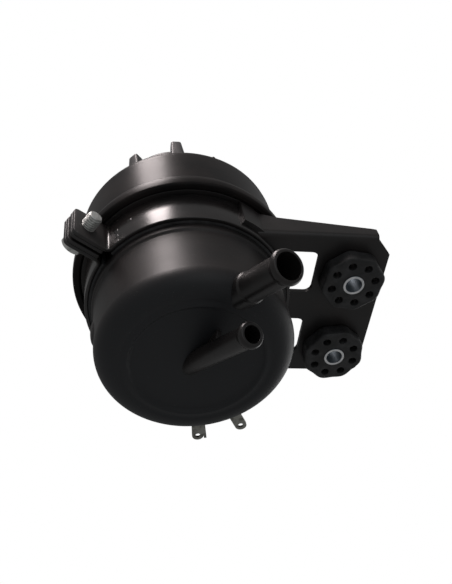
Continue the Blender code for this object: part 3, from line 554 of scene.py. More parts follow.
def grown(made, tree, values):
    growth = made.modifiers.new("growth", "NODES")
    growth.node_group = tree
    for item in tree.interface.items_tree:
        if item.in_out == "INPUT" and item.name in values:
            growth[item.identifier] = values[item.name]
    return settled(made)


def seed(name):
    return inScene(name, bpy.data.meshes.new(name))


threads = threadTree()
copiesInRing = ringTree()
coils = coilTree()
print("trees ready")


# Tank: deep-drawn shell with a recessed base

tank = dict(inMm(radius=50.6, wall=2.0, corner=11.0, beadOut=1.3, beadWidth=4.0, flangeOut=6.9, flange=2.4,
                 recessRadius=33.6, recessDepth=1.5, recessBlend=1.5, recessLip=0.35, valley=0.45),
            height=above(high[2]), bandBottom=above(bandLow[2]))
tankKey = dict(inMm(deep=2.4, wide=5.0, tall=8.5, sunk=0.96, z=20.0), azimuth=math.radians(181))
ports = dict(inMm(cornerOut=10.75, shift=2.35), azimuth=math.radians(-65.5), lean=math.radians(32))
outward = polar(math.cos(ports["lean"]), ports["azimuth"], -math.sin(ports["lean"]))
sideways = polar(math.sin(ports["lean"]), ports["azimuth"], math.cos(ports["lean"]))
returnRoot = Vector((0, 0, tank["recessDepth"]))
suctionRoot = (polar(tank["radius"] - tank["corner"], ports["azimuth"], tank["corner"])
               + outward * ports["cornerOut"] - sideways * ports["shift"])
suction = inMm(bore=6.6, tube=7.5, bead=8.7, length=33.4, collar=8.25, root=42.0)
returning = inMm(bore=4.2, tube=5.5, bead=6.4, length=51.0, collar=0.0, root=60.0)
returnWeb = inMm(start=8.0, end=21.0, sheet=3.0)


def makeTank():
    t = tank
    beadTop = t["bandBottom"] - 0.3 * mm
    outer = t["radius"]
    inner = outer - t["wall"]
    corner = t["corner"]
    middle = outer - corner
    floor = t["recessDepth"] + t["wall"]
    points = [(0, floor, 0)]
    points += [(inner, floor, corner * 1.2), (inner, t["height"], 0.8 * mm)]
    points += [(outer + t["flangeOut"], t["height"], 0.8 * mm)]
    points += [(outer + t["flangeOut"], t["height"] - t["flange"], 0.8 * mm)]
    points += [(outer, t["height"] - t["flange"], 1 * mm), (outer, beadTop, 0.8 * mm)]
    points += [(outer + t["beadOut"], beadTop, 1.0 * mm)]
    points += [(outer + t["beadOut"] * 0.9, beadTop - t["beadWidth"], 1.6 * mm)]
    points += [(outer, beadTop - t["beadWidth"] * 1.3, 2 * mm)]
    points += [(r, z, 0) for r, z in arc((middle, corner), corner, 0, -90, 24)]
    points += [(t["recessRadius"] + t["recessBlend"] * 2.8, t["valley"], 1.6 * mm)]
    points += [(t["recessRadius"] + t["recessBlend"] * 0.7, -t["recessLip"], 0.8 * mm)]
    points += [(t["recessRadius"] - t["recessBlend"] / 2, t["recessDepth"], t["recessBlend"] * 0.6)]
    points += [(0, t["recessDepth"], 0)]
    made = lathe(points, 192)
    bores = [rodShape(suction["bore"], suctionRoot - outward * 12 * mm, suctionRoot + outward * 6 * mm),
             rodShape(returning["bore"], returnRoot - outward * 11 * mm, returnRoot + outward * 8 * mm)]
    made = carved(made, *[loose(bore) for bore in bores])
    k = tankKey
    key = bmesh.new()
    bmesh.ops.create_uvsphere(key, u_segments=40, v_segments=24, radius=1.0)
    bmesh.ops.scale(key, vec=(k["deep"], k["wide"], k["tall"]), verts=key.verts)
    spot = polar(outer - k["sunk"], k["azimuth"], k["z"])
    key.transform(Matrix.Translation(spot) @ spun(k["azimuth"]))
    made = combined(made, [loose(key)])
    return piece("tank_shell", made, tankEnamel, "reservoir", ["canister"])


# Ports: drawn along +Z with the tip at zero, then turned along the port's line

def nippleProfile(p):
    swell = p["bead"] - p["tube"]
    points = [(p["bore"], 0, 0.5 * mm), (p["tube"] + swell * 0.25, 0, 0.8 * mm)]
    points += [(p["bead"], -1.5 * mm, 1.3 * mm), (p["bead"], -3.0 * mm, 1.3 * mm)]
    points += [(p["tube"], -4.9 * mm, 1.6 * mm)]
    if p["collar"]:
        points += [(p["tube"], 3.4 * mm - p["length"], 0.8 * mm)]
        points += [(p["collar"], 2.6 * mm - p["length"], 1.0 * mm)]
    points += [(p["collar"] or p["tube"], -p["root"], 0), (p["bore"], -p["root"], 0)]
    return points


def makeNipple(p, root):
    made = lathe(nippleProfile(p), 96)
    turn = outward.to_track_quat("Z", "Y").to_matrix().to_4x4()
    made.data.transform(Matrix.Translation(root + outward * p["length"]) @ turn)
    return made


def insideCutter():
    middle = tank["radius"] - tank["corner"]
    sunk = 0.7 * mm  # the roots run this far into the wall, so no gap shows
    points = [(0, 40 * mm), (tank["radius"] - sunk, 40 * mm)]
    points += arc((middle, tank["corner"]), tank["corner"] - sunk, 0, -90, 24)
    points += [(34.6 * mm, sunk), (32.4 * mm, tank["recessDepth"] + sunk), (0, tank["recessDepth"] + sunk)]
    return loose(revolve(points, 96))


def makeSuction():
    made = carved(makeNipple(suction, suctionRoot), insideCutter())
    return piece("suction_port", made, portEnamel, "reservoir", ["suction_nipple"])


def makeReturn():
    w = returnWeb
    slope = math.tan(ports["lean"])
    side = tank["recessDepth"] + 1.2 * mm
    onTube = 0.76 * w["end"]
    outline = [(w["start"], side), (w["end"] + 1 * mm, side), (w["end"], 0.2 * mm), (onTube, -onTube * slope),
               (w["start"], -w["start"] * slope)]
    web = outlineSolid([outline], -w["sheet"] / 2, w["sheet"])
    web.transform(spun(ports["azimuth"]) @ spun(math.radians(90), "X"))
    made = combined(makeNipple(returning, returnRoot), [bevelled(loose(web), 0.8 * mm, 3)])
    bore = loose(rodShape(returning["bore"], returnRoot - outward * 12 * mm, returnRoot + outward * 47 * mm))
    made = carved(made, bore, insideCutter())
    return piece("return_port", made, portEnamel, "reservoir", ["return_nipple"])


makeTank()
makeSuction()
makeReturn()
print("tank and ports ready")


# Cover: shoulder, sealing shelf and filler neck, in millimetres over its lower edge

cover = {"radius": 62.0, "skirt": 58.0, "groove": 60.6, "beadTop": 6.6, "stepTop": 11.2, "shoulder": 57.4,
         "top": 48.2, "ceiling": 45.8, "shelf": 54.0, "shelfBottom": 6.2, "shelfTop": 8.2, "inner": 55.9,
         "neck": 27.0, "bore": 24.8, "cone": 4.0, "neckTop": (coverHigh[2] - coverLow[2]) / mm}
neckThread = {"Turns": 4.5, "Radius": 27.1 * mm, "Height": 18 * mm, "Wire": 1.1 * mm, "Material": coverEnamel}


def makeCover():
    c = cover
    base = above(coverLow[2])
    points = [(c["neck"], c["neckTop"], 0.6), (c["neck"], c["top"] + c["cone"], 2)]
    points += [(c["neck"] + 5, c["top"] + 0.4, 3), (c["shoulder"], c["top"], 7.5)]
    points += [(c["shoulder"] + 0.7, c["stepTop"] + 2.2, 1.2), (c["groove"] - 0.5, c["stepTop"], 1.2)]
    points += [(c["groove"], c["beadTop"] + 1.6, 0.7), (c["groove"] - 0.1, c["beadTop"] + 0.1, 0.5)]
    points += [(c["radius"] - 0.1, c["beadTop"] - 0.6, 1.5), (c["radius"], 3, 2), (c["radius"] - 0.3, 0, 1.7)]
    points += [(c["skirt"], 0, 0.8), (c["skirt"], c["shelfBottom"], 0.6), (c["shelf"], c["shelfBottom"], 0.5)]
    points += [(c["shelf"], c["shelfTop"], 0.5), (c["inner"], c["shelfTop"], 0.6)]
    points += [(c["inner"], c["ceiling"], 5), (c["bore"], c["ceiling"], 1), (c["bore"], c["neckTop"], 0.6)]
    shell = lathe(profileInMm(points, base), 192)
    piece("cover_shell", shell, coverEnamel, "cover", ["cover"])
    thread = grown(seed("neck_thread"), coils, neckThread)
    thread.data.transform(Matrix.Translation((0, 0, base + (c["top"] + c["cone"] + 4) * mm)))
    piece("neck_thread", thread, coverEnamel, "cover")


# Filler cap: shell with a ring on its crown, and lobes, in millimetres over its lower edge

cap = {"radius": 32.8, "bore": 28.6, "wall": 2.6, "height": (capHigh[2] - capLow[2]) / mm,
       "crownGroove": (14, 25), "lobeRise": 2.0, "reach": 39.0, "root": 11.0, "tip": 6.5, "lean": 0.8,
       "foot": 2.0, "count": 8, "phase": math.radians(-1.5)}


def makeCap():
    c = cap
    base = above(capLow[2])
    crown = c["height"] - c["lobeRise"]
    near, far = c["crownGroove"]
    points = [(0, crown - c["wall"], 0), (c["bore"], crown - c["wall"], 1.2), (c["bore"], 0, 0.8)]
    points += [(c["radius"], 0, 1.2), (c["radius"], crown, 4), (far + 1, crown, 1), (far, crown - 1, 0.8)]
    points += [(near, crown - 1, 0.8), (near - 1, crown, 1), (0, crown, 0)]
    shell = lathe(profileInMm(points, base))
    piece("cap_shell", shell, capPlastic, "cap", ["filler_cap"])
    inside = c["radius"] - 1.2
    lobe = box((1, 1, 1), (0, 0, 0.5))
    for vert in lobe.verts:
        upper = vert.co.z > 0.5
        width = c["tip"] if upper else c["root"]
        outside = c["reach"] - (c["lean"] if upper else 0)
        vert.co = (0 if vert.co.x < 0 else outside - inside, vert.co.y * width,
                   c["height"] - c["foot"] if upper else 0)
    bmesh.ops.scale(lobe, vec=(mm, mm, mm), verts=lobe.verts)
    ready = bevelled(loose(lobe, "lobe"), 1.4 * mm, 4)
    ring = grown(ready, copiesInRing, {"Count": c["count"], "Radius": inside * mm, "Material": capPlastic})
    turn = spun(c["phase"])
    ring.data.transform(Matrix.Translation((0, 0, base + c["foot"] * mm)) @ turn)
    piece("cap_lobes", ring, capPlastic, "cap", ())


makeCover()
makeCap()
print("cover and cap ready")


# Clamp: a strap swept round the canister, bent out into two ears

strap = dict(inMm(middle=54.3, thick=2.0, gap=1.4, bend=3.2, tip=75.8, corner=3.2, layer=0.1, root=56.5),
             low=above(bandLow[2]), high=above(bandHigh[2]), azimuth=math.radians(-148))
bolt = dict(inMm(radial=67.5, tip=12.4, radius=4.0, flats=11.0, head=4.5, washer=6.5, washerThick=1.2,
                 clearance=0.3, pitch=1.25, threadDepth=0.75, runOut=1.1),
            z=(strap["low"] + strap["high"]) / 2)
liner = inMm(inner=50.7, outer=53.2)
boltSide = Vector((-math.sin(strap["azimuth"]), math.cos(strap["azimuth"]), 0))
boltPlace = (Matrix.Translation(polar(bolt["radial"], strap["azimuth"], bolt["z"]))
             @ boltSide.to_track_quat("Z", "Y").to_matrix().to_4x4())


def ribbon(path):  # sections of point, outward normal, half thickness, low and high
    shape = bmesh.new()
    rings = []
    for point, normal, half, bottom, top in path:
        corners = [point - normal * half, point + normal * half]
        low = [shape.verts.new((c.x, c.y, bottom)) for c in corners]
        high = [shape.verts.new((c.x, c.y, top)) for c in reversed(corners)]
        rings.append(low + high)
    for first, second in zip(rings, rings[1:]):
        for side in range(4):
            following = (side + 1) % 4
            shape.faces.new((first[side], first[following], second[following], second[side]))
    shape.faces.new(rings[0][::-1])
    shape.faces.new(rings[-1])
    return shape


def tipInset(fromTip):  # how far the rounded corner of an ear cuts into its width
    corner = strap["corner"]
    rounded = max(corner - fromTip, 0)
    return corner - math.sqrt(max(corner ** 2 - rounded ** 2, 0))


def strapPath():
    s = strap
    line = s["gap"] / 2 + s["thick"] / 2 + s["thick"] + s["layer"]
    reach = s["middle"] + s["bend"]
    centreX = math.sqrt(reach ** 2 - (line + s["bend"]) ** 2)
    start = math.degrees(math.asin((line + s["bend"]) / reach))
    half = s["thick"] / 2
    ear = []
    count = 26
    for step in range(count):
        part = step / (count - 1)
        x = s["tip"] + (centreX - s["tip"]) * part
        inset = tipInset(s["tip"] - x)
        ear.append((Vector((x, line)), Vector((0, 1)), half, s["low"] + inset, s["high"] - inset))
    for x, y in arc((centreX, line + s["bend"]), s["bend"], -90, -180 + start, 10)[1:]:
        normal = (Vector((centreX, line + s["bend"])) - Vector((x, y))).normalized()
        ear.append((Vector((x, y)), normal, half, s["low"], s["high"]))
    around = [(Vector(point), Vector(point).normalized(), half, s["low"], s["high"])
              for point in arc((0, 0), s["middle"], start, 360 - start, 180)[1:-1]]
    other = []
    for point, normal, thickness, bottom, top in reversed(ear):
        other.append((Vector((point.x, -point.y)), Vector((normal.x, -normal.y)), thickness, bottom, top))
    return ear + around + other


def boltHole():
    hole = rodShape(bolt["radius"] + bolt["clearance"], (0, 0, -12 * mm), (0, 0, 12 * mm))
    hole.transform(boltPlace)
    return loose(hole)


def makeHem(number, side):  # the strap's end, folded back against the inside of its ear
    s = strap
    half = s["thick"] / 2
    y = side * (s["gap"] / 2 + half)
    path = []
    steps = 24
    for step in range(steps):
        fromTip = (s["tip"] - s["root"]) * step / (steps - 1)
        point = Vector((s["tip"] - fromTip, y))
        inset = tipInset(fromTip)
        path.append((point, Vector((0, side)), half, s["low"] + inset, s["high"] - inset))
    made = loose(ribbon(path), "hem")
    made.data.transform(spun(s["azimuth"]))
    made = carved(bevelled(made, 0.5 * mm, 3, 50), boltHole())
    piece(f"ear_hem_{number}", made, bandEnamel, "reservoir")


def makeClamp():
    s = strap
    made = loose(ribbon(strapPath()), "strap")
    made.data.transform(spun(s["azimuth"]))
    made = carved(bevelled(made, 0.45 * mm, 3, 50), boltHole())
    for number, side in enumerate((-1, 1), start=1):
        makeHem(number, side)
    piece("clamp_strap", made, bandEnamel, "reservoir", ["clamp_band"])
    strip = []
    middle = math.degrees(s["azimuth"])
    for radius, ends in ((liner["outer"], (4, 356)), (liner["inner"], (356, 4))):
        strip += arc((0, 0), radius, middle + ends[0], middle + ends[1], 144)
    made = loose(outlineSolid([strip], s["low"] - 0.15 * mm, s["high"] - s["low"] + 0.1 * mm))
    made = bevelled(made, 0.3 * mm, 2, 50)
    piece("strap_liner", made, sealRubber, "reservoir", ["band_liner"])


def hexagon(radius):
    return [(radius * math.cos(math.tau * k / 6), radius * math.sin(math.tau * k / 6)) for k in range(6)]


def makeBolt():
    b = bolt
    earHalf = strap["gap"] / 2 + strap["layer"] + 2 * strap["thick"]
    seat = -(earHalf + 0.1 * mm + b["washerThick"])
    length = b["tip"] - seat
    values = {"Radius": b["radius"], "Length": length, "Pitch": b["pitch"], "Depth": b["threadDepth"],
              "Run-out": b["runOut"], "Rings": 340, "Material": zinc}
    shank = grown(seed("bolt_thread"), threads, values)
    shank.data.transform(Matrix.Translation((0, 0, seat + length / 2)))
    piece("bolt_thread", shank, zinc, "reservoir", ["clamp_bolt"], 30, boltPlace)
    corner = b["flats"] / 2 / math.cos(math.radians(30))
    head = loose(outlineSolid([hexagon(corner)], seat - b["head"], b["head"]), "head")
    crown = [(0, seat, 0), (corner * 1.2, seat, 0), (corner * 1.2, seat - b["head"] * 0.55, 0)]
    crown += [(corner * 0.86, seat - b["head"], 0.4 * mm), (0, seat - b["head"], 0)]
    cone = lathe(crown, 72)
    head = combined(head, [cone], "INTERSECT")
    piece("bolt_head", bevelled(head, 0.25 * mm, 3, 25), zinc, "reservoir", (), 30, boltPlace)
    near = -(earHalf + 0.05 * mm)
    far = near - b["washerThick"]
    bore = b["radius"] + b["clearance"]
    profile = [(bore, near, 0.1 * mm), (b["washer"], near, 0.3 * mm)]
    profile += [(b["washer"], far, 0.3 * mm), (bore, far, 0.1 * mm)]
    made = lathe(profile, 72)
    piece("washer", made, zinc, "reservoir", ["clamp_washer"], 30, boltPlace)


makeClamp()
makeBolt()
print("clamp ready")


# Bracket: one stamping with a bent flange and a tab that wraps the strap

plate = dict(inMm(thick=2.5, low=-44.5, high=47.0, left=67.0, right=106.0, corner=4.0, chamferX=8.0,
                  chamferY=9.0, lowWindow=-35.0, middleLow=-9.0, middleHigh=9.5, highWindow=33.6,
                  band=55.25, hole=14.9, flangeOut=-46.35, flangeTall=15.0, flangeShort=8.0, bend=3.0,
                  tabLow=51.0, tabHigh=69.0, bushingX=86.8),
             bottom=above(plateLow[2]), bushingY=(-20.7 * mm, 29.9 * mm), tabSpan=(-51.6, -65.4))


def plateOutline():
    p = plate
    corner = p["corner"]
    left = p["left"] - corner

    def onBand(start, end):
        angles = [math.degrees(math.asin(y / p["band"])) for y in (start, end)]
        return arc((0, 0), p["band"], angles[0], angles[1], 10)

    start = p["low"] + p["bend"] / 2
    far = p["right"] - p["chamferX"]
    points = [(far, start), (far, p["low"]), (p["right"], p["low"] + p["chamferY"])]
    points += arc((p["right"] - corner, p["high"] - corner), corner, 0, 90)
    points += onBand(p["high"], p["highWindow"]) + arc((left, p["highWindow"] - corner), corner, 90, 0)
    points += arc((left, p["middleHigh"] + corner), corner, 0, -90) + onBand(p["middleHigh"], p["middleLow"])
    points += arc((left, p["middleLow"] - corner), corner, 90, 0)
    points += arc((left, p["lowWindow"] + corner), corner, 0, -90) + onBand(p["lowWindow"], start)
    return points


def circlePoints(radius, centre=(0, 0), steps=72):
    return arc(centre, radius, 0, 360, steps)[:-1]


def makeBracket():
    p = plate
    holes = [circlePoints(p["hole"], (p["bushingX"], y)) for y in p["bushingY"]]
    made = loose(outlineSolid([plateOutline()] + holes, p["bottom"], p["thick"]), "plate")
    far = p["right"] - p["chamferX"]
    near = math.sqrt(p["band"] ** 2 - p["low"] ** 2) - 1.0 * mm
    knee = near + 0.2 * (far - near)
    out = p["flangeOut"]
    inner = out + p["thick"]
    top = p["bottom"] + p["flangeTall"] + 6 * mm
    section = arc((out + p["bend"], p["bottom"] + p["bend"]), p["bend"], 180, 270)
    section += [(p["low"] + p["bend"], p["bottom"]), (p["low"] + p["bend"], p["bottom"] + p["thick"])]
    section += arc((out + p["bend"], p["bottom"] + p["bend"]), p["bend"] - p["thick"], 270, 180)
    section += [(inner, top), (out, top)]
    bent = outlineSolid([section], near, far - near)
    bent.transform(Matrix(((0, 0, 1, 0), (1, 0, 0, 0), (0, 1, 0, 0), (0, 0, 0, 1))))
    tall = p["bottom"] + p["flangeTall"]
    short = p["bottom"] + p["flangeShort"]
    before = near - 5 * mm
    beyond = far + 5 * mm
    slope = [(before, p["tabHigh"]), (near, p["tabHigh"]), (knee, tall), (far - 2 * mm, short),
             (beyond, short - 2 * mm), (beyond, top + 5 * mm), (before, top + 5 * mm)]
    over = outlineSolid([slope], 0, 12 * mm)
    over.transform(Matrix.Translation((0, -40 * mm, 0)) @ spun(math.pi / 2, "X"))
    bandCutter = loose(rodShape(p["band"], (0, 0, 0), (0, 0, 100 * mm), 240))
    flange = carved(loose(bent, "flange"), loose(over), bandCutter)
    start, end = p["tabSpan"]
    wrap = arc((0, 0), p["band"], start, end, 16) + arc((0, 0), p["band"] + p["thick"], end, start, 16)
    tab = loose(outlineSolid([wrap], p["tabLow"], p["tabHigh"] - p["tabLow"]))
    made = combined(made, [flange, tab])
    piece("bracket_sheet", bevelled(made, 0.5 * mm, 3, 40), bracketEnamel, "reservoir", ["bracket"])


makeBracket()
print("bracket ready")


# Bushings and sleeves

bush = dict(inMm(radius=17.0, scallop=0.5, hole=2.3, holeCircle=12.0, neck=14.75, flange=8.4, gap=0.3,
                 sleeve=5.85, round=1.3, edge=0.75),
            holes=8, turns=(math.radians(30), math.radians(14)))
sleeve = inMm(bore=4.5, outer=5.8, low=40.8, high=61.7)


def scallops():
    steps = 16 * bush["holes"]
    points = []
    for step in range(steps):
        angle = math.tau * step / steps
        spot = polar(bush["radius"] + bush["scallop"] * math.cos(bush["holes"] * angle), angle)
        points.append((spot.x, spot.y))
    return points


def makeBushing(number, centre, turn):
    b = bush
    bottom = plate["bottom"] - b["gap"] - b["flange"]
    upper = plate["bottom"] + plate["thick"] + b["gap"]
    flanges = [bevelled(loose(outlineSolid([scallops()], level, b["flange"])), b["round"], 5, 50)
               for level in (bottom, upper)]
    neck = loose(rodShape(b["neck"], (0, 0, bottom + b["flange"] / 2), (0, 0, upper + b["flange"] / 2), 96))
    made = combined(flanges[0], [flanges[1], neck])
    below = bottom - 5 * mm
    beyond = upper + 15 * mm
    drill = loose(rodShape(b["hole"], (0, 0, below), (0, 0, beyond), 32), "drill")
    drills = grown(drill, copiesInRing, {"Count": b["holes"], "Radius": b["holeCircle"], "Material": rubber})
    bore = loose(rodShape(b["sleeve"], (0, 0, below), (0, 0, beyond), 72))
    made = bevelled(carved(made, drills, bore), b["edge"], 3, 55)
    place = Matrix.Translation((*centre, 0)) @ spun(turn)
    piece(f"rubber_bush_{number}", made, rubber, "reservoir", [f"bushing_{number}"],
          place=place)
    s = sleeve
    profile = [(s["bore"], s["low"], 0.25 * mm), (s["outer"], s["low"], 0.3 * mm),
               (s["outer"], s["high"], 0.3 * mm), (s["bore"], s["high"], 0.25 * mm)]
    tube = lathe(profile, 96)
    piece(f"steel_sleeve_{number}", tube, sleeveSteel, "reservoir", [f"sleeve_{number}"],
          place=place)


for number, (y, turn) in enumerate(zip(plate["bushingY"], bush["turns"]), start=1):
    makeBushing(number, (plate["bushingX"], y), turn)
print("bushings ready")


# Hose clip and its rivet

clip = dict(inMm(z=13.0, width=7.0, sheet=1.4, inner=50.75, span=20.0, lugWidth=6.4, reach=12.5, hole=1.5),
            azimuth=math.radians(71))
clipRivet = inMm(shank=2.0, head=3.4, dome=1.2, inside=48.0)


def makeClip():
    c = clip
    outer = c["inner"] + c["sheet"]
    low = c["z"] - c["width"] / 2
    half = c["lugWidth"] / 2
    middle = math.degrees(c["azimuth"])
    sweep = math.degrees((c["span"] + c["lugWidth"]) / 2 / c["inner"])
    outline = arc((0, 0), outer, middle - sweep, middle + sweep, 24)
    outline += arc((0, 0), c["inner"], middle + sweep, middle - sweep, 24)
    made = loose(outlineSolid([outline], low, c["width"]))
    tools = []
    tip = outer + c["reach"] - half
    start = outer - c["sheet"] / 2
    for side in (-1, 1):
        lug = [(start, -half)] + arc((tip, 0), half, -90, 90, 16) + [(start, half)]
        shape = outlineSolid([lug, circlePoints(c["hole"], (tip, 0), 32)], low, c["sheet"])
        shape.transform(spun(c["azimuth"] + side * c["span"] / 2 / c["inner"]))
        tools.append(loose(shape))
    leg = box((c["reach"], c["sheet"], c["width"]), (outer + c["reach"] / 2 - c["sheet"] / 2, 0, c["z"]))
    leg.transform(spun(c["azimuth"] + (c["span"] / 2 - half) / c["inner"]))
    made = combined(made, tools + [loose(leg)])
    piece("clip_strap", bevelled(made, 0.28 * mm, 3, 40), clipSteel, "reservoir", ["hose_clip"])
    r = clipRivet
    head = outer + 0.1 * mm
    dome = [(0, head + r["dome"], 0), (r["head"] - 0.2 * mm, head + 0.75 * r["dome"], 1.4 * mm)]
    dome += [(r["head"], head, 0.3 * mm), (r["shank"], head - 0.2 * mm, 0.2 * mm)]
    dome += [(r["shank"], r["inside"], 0.3 * mm), (0, r["inside"] - 0.2 * mm, 0)]
    made = lathe(dome, 48)
    turn = spun(c["azimuth"]) @ spun(math.pi / 2, "Y")
    place = Matrix.Translation((0, 0, c["z"])) @ turn
    piece("rivet", made, zinc, "reservoir", ["clip_rivet"], place=place)


makeClip()


# Weld spots and a small rivet on the strap

spots = dict(inMm(weld=1.7, weldRise=0.28, rivet=1.9, rivetRise=0.9),
             welds=((-128, 60), (-137, 48), (-137, 52.5), (-137, 58)), rivetAt=(-152.7, 57))


def makeSpot(name, place, radius, rise):
    azimuth, z = place
    surface = strap["middle"] + strap["thick"] / 2
    sunk = surface - 0.8 * mm
    profile = [(0, surface + rise, 0), (radius * 0.75, surface + rise, 0.5 * mm), (radius, surface, 0.3 * mm),
               (radius, sunk, 0), (0, sunk, 0)]
    turn = spun(math.radians(azimuth)) @ spun(math.pi / 2, "Y")
    made = lathe(profile, 40)
    piece(name, made, bandEnamel, "reservoir", place=Matrix.Translation((0, 0, z * mm)) @ turn)


for number, place in enumerate(spots["welds"], start=1):
    makeSpot(f"weld_spot_{number}", place, spots["weld"], spots["weldRise"])
makeSpot("strap_rivet", spots["rivetAt"], spots["rivet"], spots["rivetRise"])
print("clip and spots ready")


# What is inside: seals, cap insert, foam, dipstick, filter and spring. Lists hold
# radius, height over the tank's base and corner of each point, in millimetres

def ringPoints(inner, outer, bottom, top, corner):
    return [(inner, top, corner), (outer, top, corner), (outer, bottom, corner), (inner, bottom, corner)]


def stickPoints(marks):
    points = [(0, 154.6, 0), (4.2, 154.6, 0.4), (4.2, 153.6, 0.3), (2.2, 153.6, 0.2)]
    for mark in marks:
        points += [(2.2, mark + 2, 0.2), (3.2, mark + 1.5, 0.3), (3.2, mark + 0.5, 0.3), (2.2, mark, 0.2)]
    return points + [(2.2, 101.1, 0.4), (1.1, 100.1, 0.3), (0, 100.1, 0)]


gasket = ringPoints(24.5, 28.1, 147.3, 150.0, 0.6)
ventFoam = ringPoints(8, 20, 153.6, 160.6, 0.8)
plug = [(28.1, 153.3, 0.5), (28.1, 150.3, 0.5), (23.4, 150.3, 0.3), (23.4, 140.3, 0.6), (20.8, 140.3, 0.6),
        (20.8, 150.3, 0.8), (5, 150.3, 0.8), (5, 140.3, 0.6), (2.5, 140.3, 0.3), (2.5, 153.3, 0.3)]
levelRod = stickPoints((126.1, 110.1))
seatRing = [(14.9, 10.3, 0.5), (14.9, 5, 1), (17.3, 5, 0.4), (17.3, 3.8, 0.4), (12.5, 3.8, 0.4),
            (12.5, 10.3, 0.5)]
filterFoot = [(36, 15.1, 0.2), (36, 10.6, 0.9), (16.9, 10.6, 0.8), (16.9, 6.4, 0.4), (15.4, 6.4, 0.4),
              (15.4, 10.6, 0.3), (12.5, 10.6, 0.4), (12.5, 12.1, 0.4), (35.25, 12.1, 0.5), (35.25, 15.1, 0.2)]
filterLid = [(0, 90.6, 0), (27.9, 90.6, 0.6), (27.9, 89.1, 0.5), (36, 89.1, 0.9), (36, 84.6, 0.2),
             (35.25, 84.6, 0.2), (35.25, 87.6, 0.5), (0, 87.6, 0)]
seal = inMm(radius=55.75, z=74.45, section=1.25)
core = dict(inMm(inner=15.3, outer=16.5, low=12.4, high=87.3, hole=1.9), rows=9, columns=12)
pleating = {"Pleats": 36, "Outer": 34.7 * mm, "Inner": 17.2 * mm, "Thickness": 0.7 * mm,
            "Height": core["high"] - core["low"], "Material": paper}


def turnedPiece(name, points, material, body, node, steps=96):
    piece(name, lathe(profileInMm(points), steps), material, body, [node])


def makeInside():
    ring = revolve(arc((seal["radius"], seal["z"]), seal["section"], 0, 360, 24)[:-1])
    piece("seal_ring", loose(ring), sealRubber, "cover_seal", ["cover_seal"])
    turnedPiece("cap_gasket", gasket, sealRubber, "cap_seal", "cap_seal")
    turnedPiece("insert_plug", plug, capPlastic, "cap_insert", "cap_insert")
    turnedPiece("vent_foam", ventFoam, foam, "cap_insert", "breather_foam")
    turnedPiece("level_rod", levelRod, zinc, "cap_insert", "dipstick", 48)
    turnedPiece("seat_ring", seatRing, zinc, "reservoir", "filter_seat")


def makeFilter():
    turnedPiece("filter_foot", filterFoot, zinc, "filter", "filter_bottom_cap")
    turnedPiece("filter_lid", filterLid, zinc, "filter", "filter_top_cap")
    c = core
    corner = 0.2 * mm
    wall = [(c["inner"], c["high"], corner), (c["outer"], c["high"], corner), (c["outer"], c["low"], corner),
            (c["inner"], c["low"], corner)]
    tube = lathe(wall, 120)
    column = bmesh.new()
    pitch = (c["high"] - c["low"]) / (c["rows"] + 0.4)
    for row in range(c["rows"]):
        z = c["low"] + (row + 0.7) * pitch
        rod = rodShape(c["hole"], (-4 * mm, 0, z), (4 * mm, 0, z), 20)
        holder = bpy.data.meshes.new("rod")
        rod.to_mesh(holder)
        rod.free()
        column.from_mesh(holder)
    values = {"Count": c["columns"], "Radius": 16 * mm, "Material": zinc}
    drills = grown(loose(column, "drills"), copiesInRing, values)
    piece("perforated_core", carved(tube, drills), zinc, "filter", ["filter_core"])
    pleated = grown(seed("pleats"), pleats, pleating)
    pleated.data.transform(Matrix.Translation((0, 0, (c["low"] + c["high"]) / 2)))
    piece("pleated_paper", pleated, paper, "filter", ["filter_element"], 60)


def pleatTree():
    inputs = {"Pleats": 36, "Outer": 0.035, "Inner": 0.017, "Thickness": 0.0007, "Height": 0.06}
    tree, maker, given = newTree("pleated_ring", inputs)
    steps = 12
    path = maker.node("GeometryNodeCurvePrimitiveCircle", None,
                      {"Resolution": given["Pleats"] * steps, "Radius": given["Outer"]})
    x, y, z = maker.split(maker.node("GeometryNodeInputPosition"))
    around = y.maths("ARCTAN2", x) / math.tau + 1.0
    fold = (around * given["Pleats"]).maths("PINGPONG", 0.5) * 2.0
    share = (given["Inner"] + fold.ease(0.0, 1.0) * (given["Outer"] - given["Inner"])) / given["Outer"]
    folded = maker.node("GeometryNodeSetPosition", None,
                        {"Geometry": path, "Position": maker.join(x * share, y * share, z)})
    section = maker.node("GeometryNodeCurvePrimitiveQuadrilateral", None,
                         {"Width": given["Thickness"], "Height": given["Height"]})
    sheet = maker.node("GeometryNodeCurveToMesh", None, {"Curve": folded, "Profile Curve": section})
    endTree(maker, sheet, given["Material"])
    return tree


spring = dict(inMm(low=90.5, high=114.2, radius=30.0, wire=1.1), turns=4.0, keep=0.845)


def makeSpring():
    s = spring
    values = {"Turns": s["turns"], "Radius": s["radius"], "Height": s["high"] - s["low"], "Wire": s["wire"],
              "Material": springSteel}
    coil = grown(seed("coil"), coils, values)
    coil.data.transform(Matrix.Translation((0, 0, s["low"])))
    made = piece("coil_spring", coil, springSteel, "reservoir", ["filter_spring"], 60)
    axis.z + s["high"] + s["wire"]
    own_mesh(made)


pleats = pleatTree()
makeInside()
makeFilter()
makeSpring()
print("inside ready")


# Floor, lights, world and camera

floorLevel = -0.7
view = {"place": Vector((-0.144776, -0.261277, -0.335235)), "right": Vector((0.98311, -0.13147, -0.12732)),
        "up": Vector((-0.03127, -0.80611, 0.59093)), "lens": 49.315, "sensor": 36.0,
        "aim": Vector((-0.07409, -0.03510, -0.02296))}


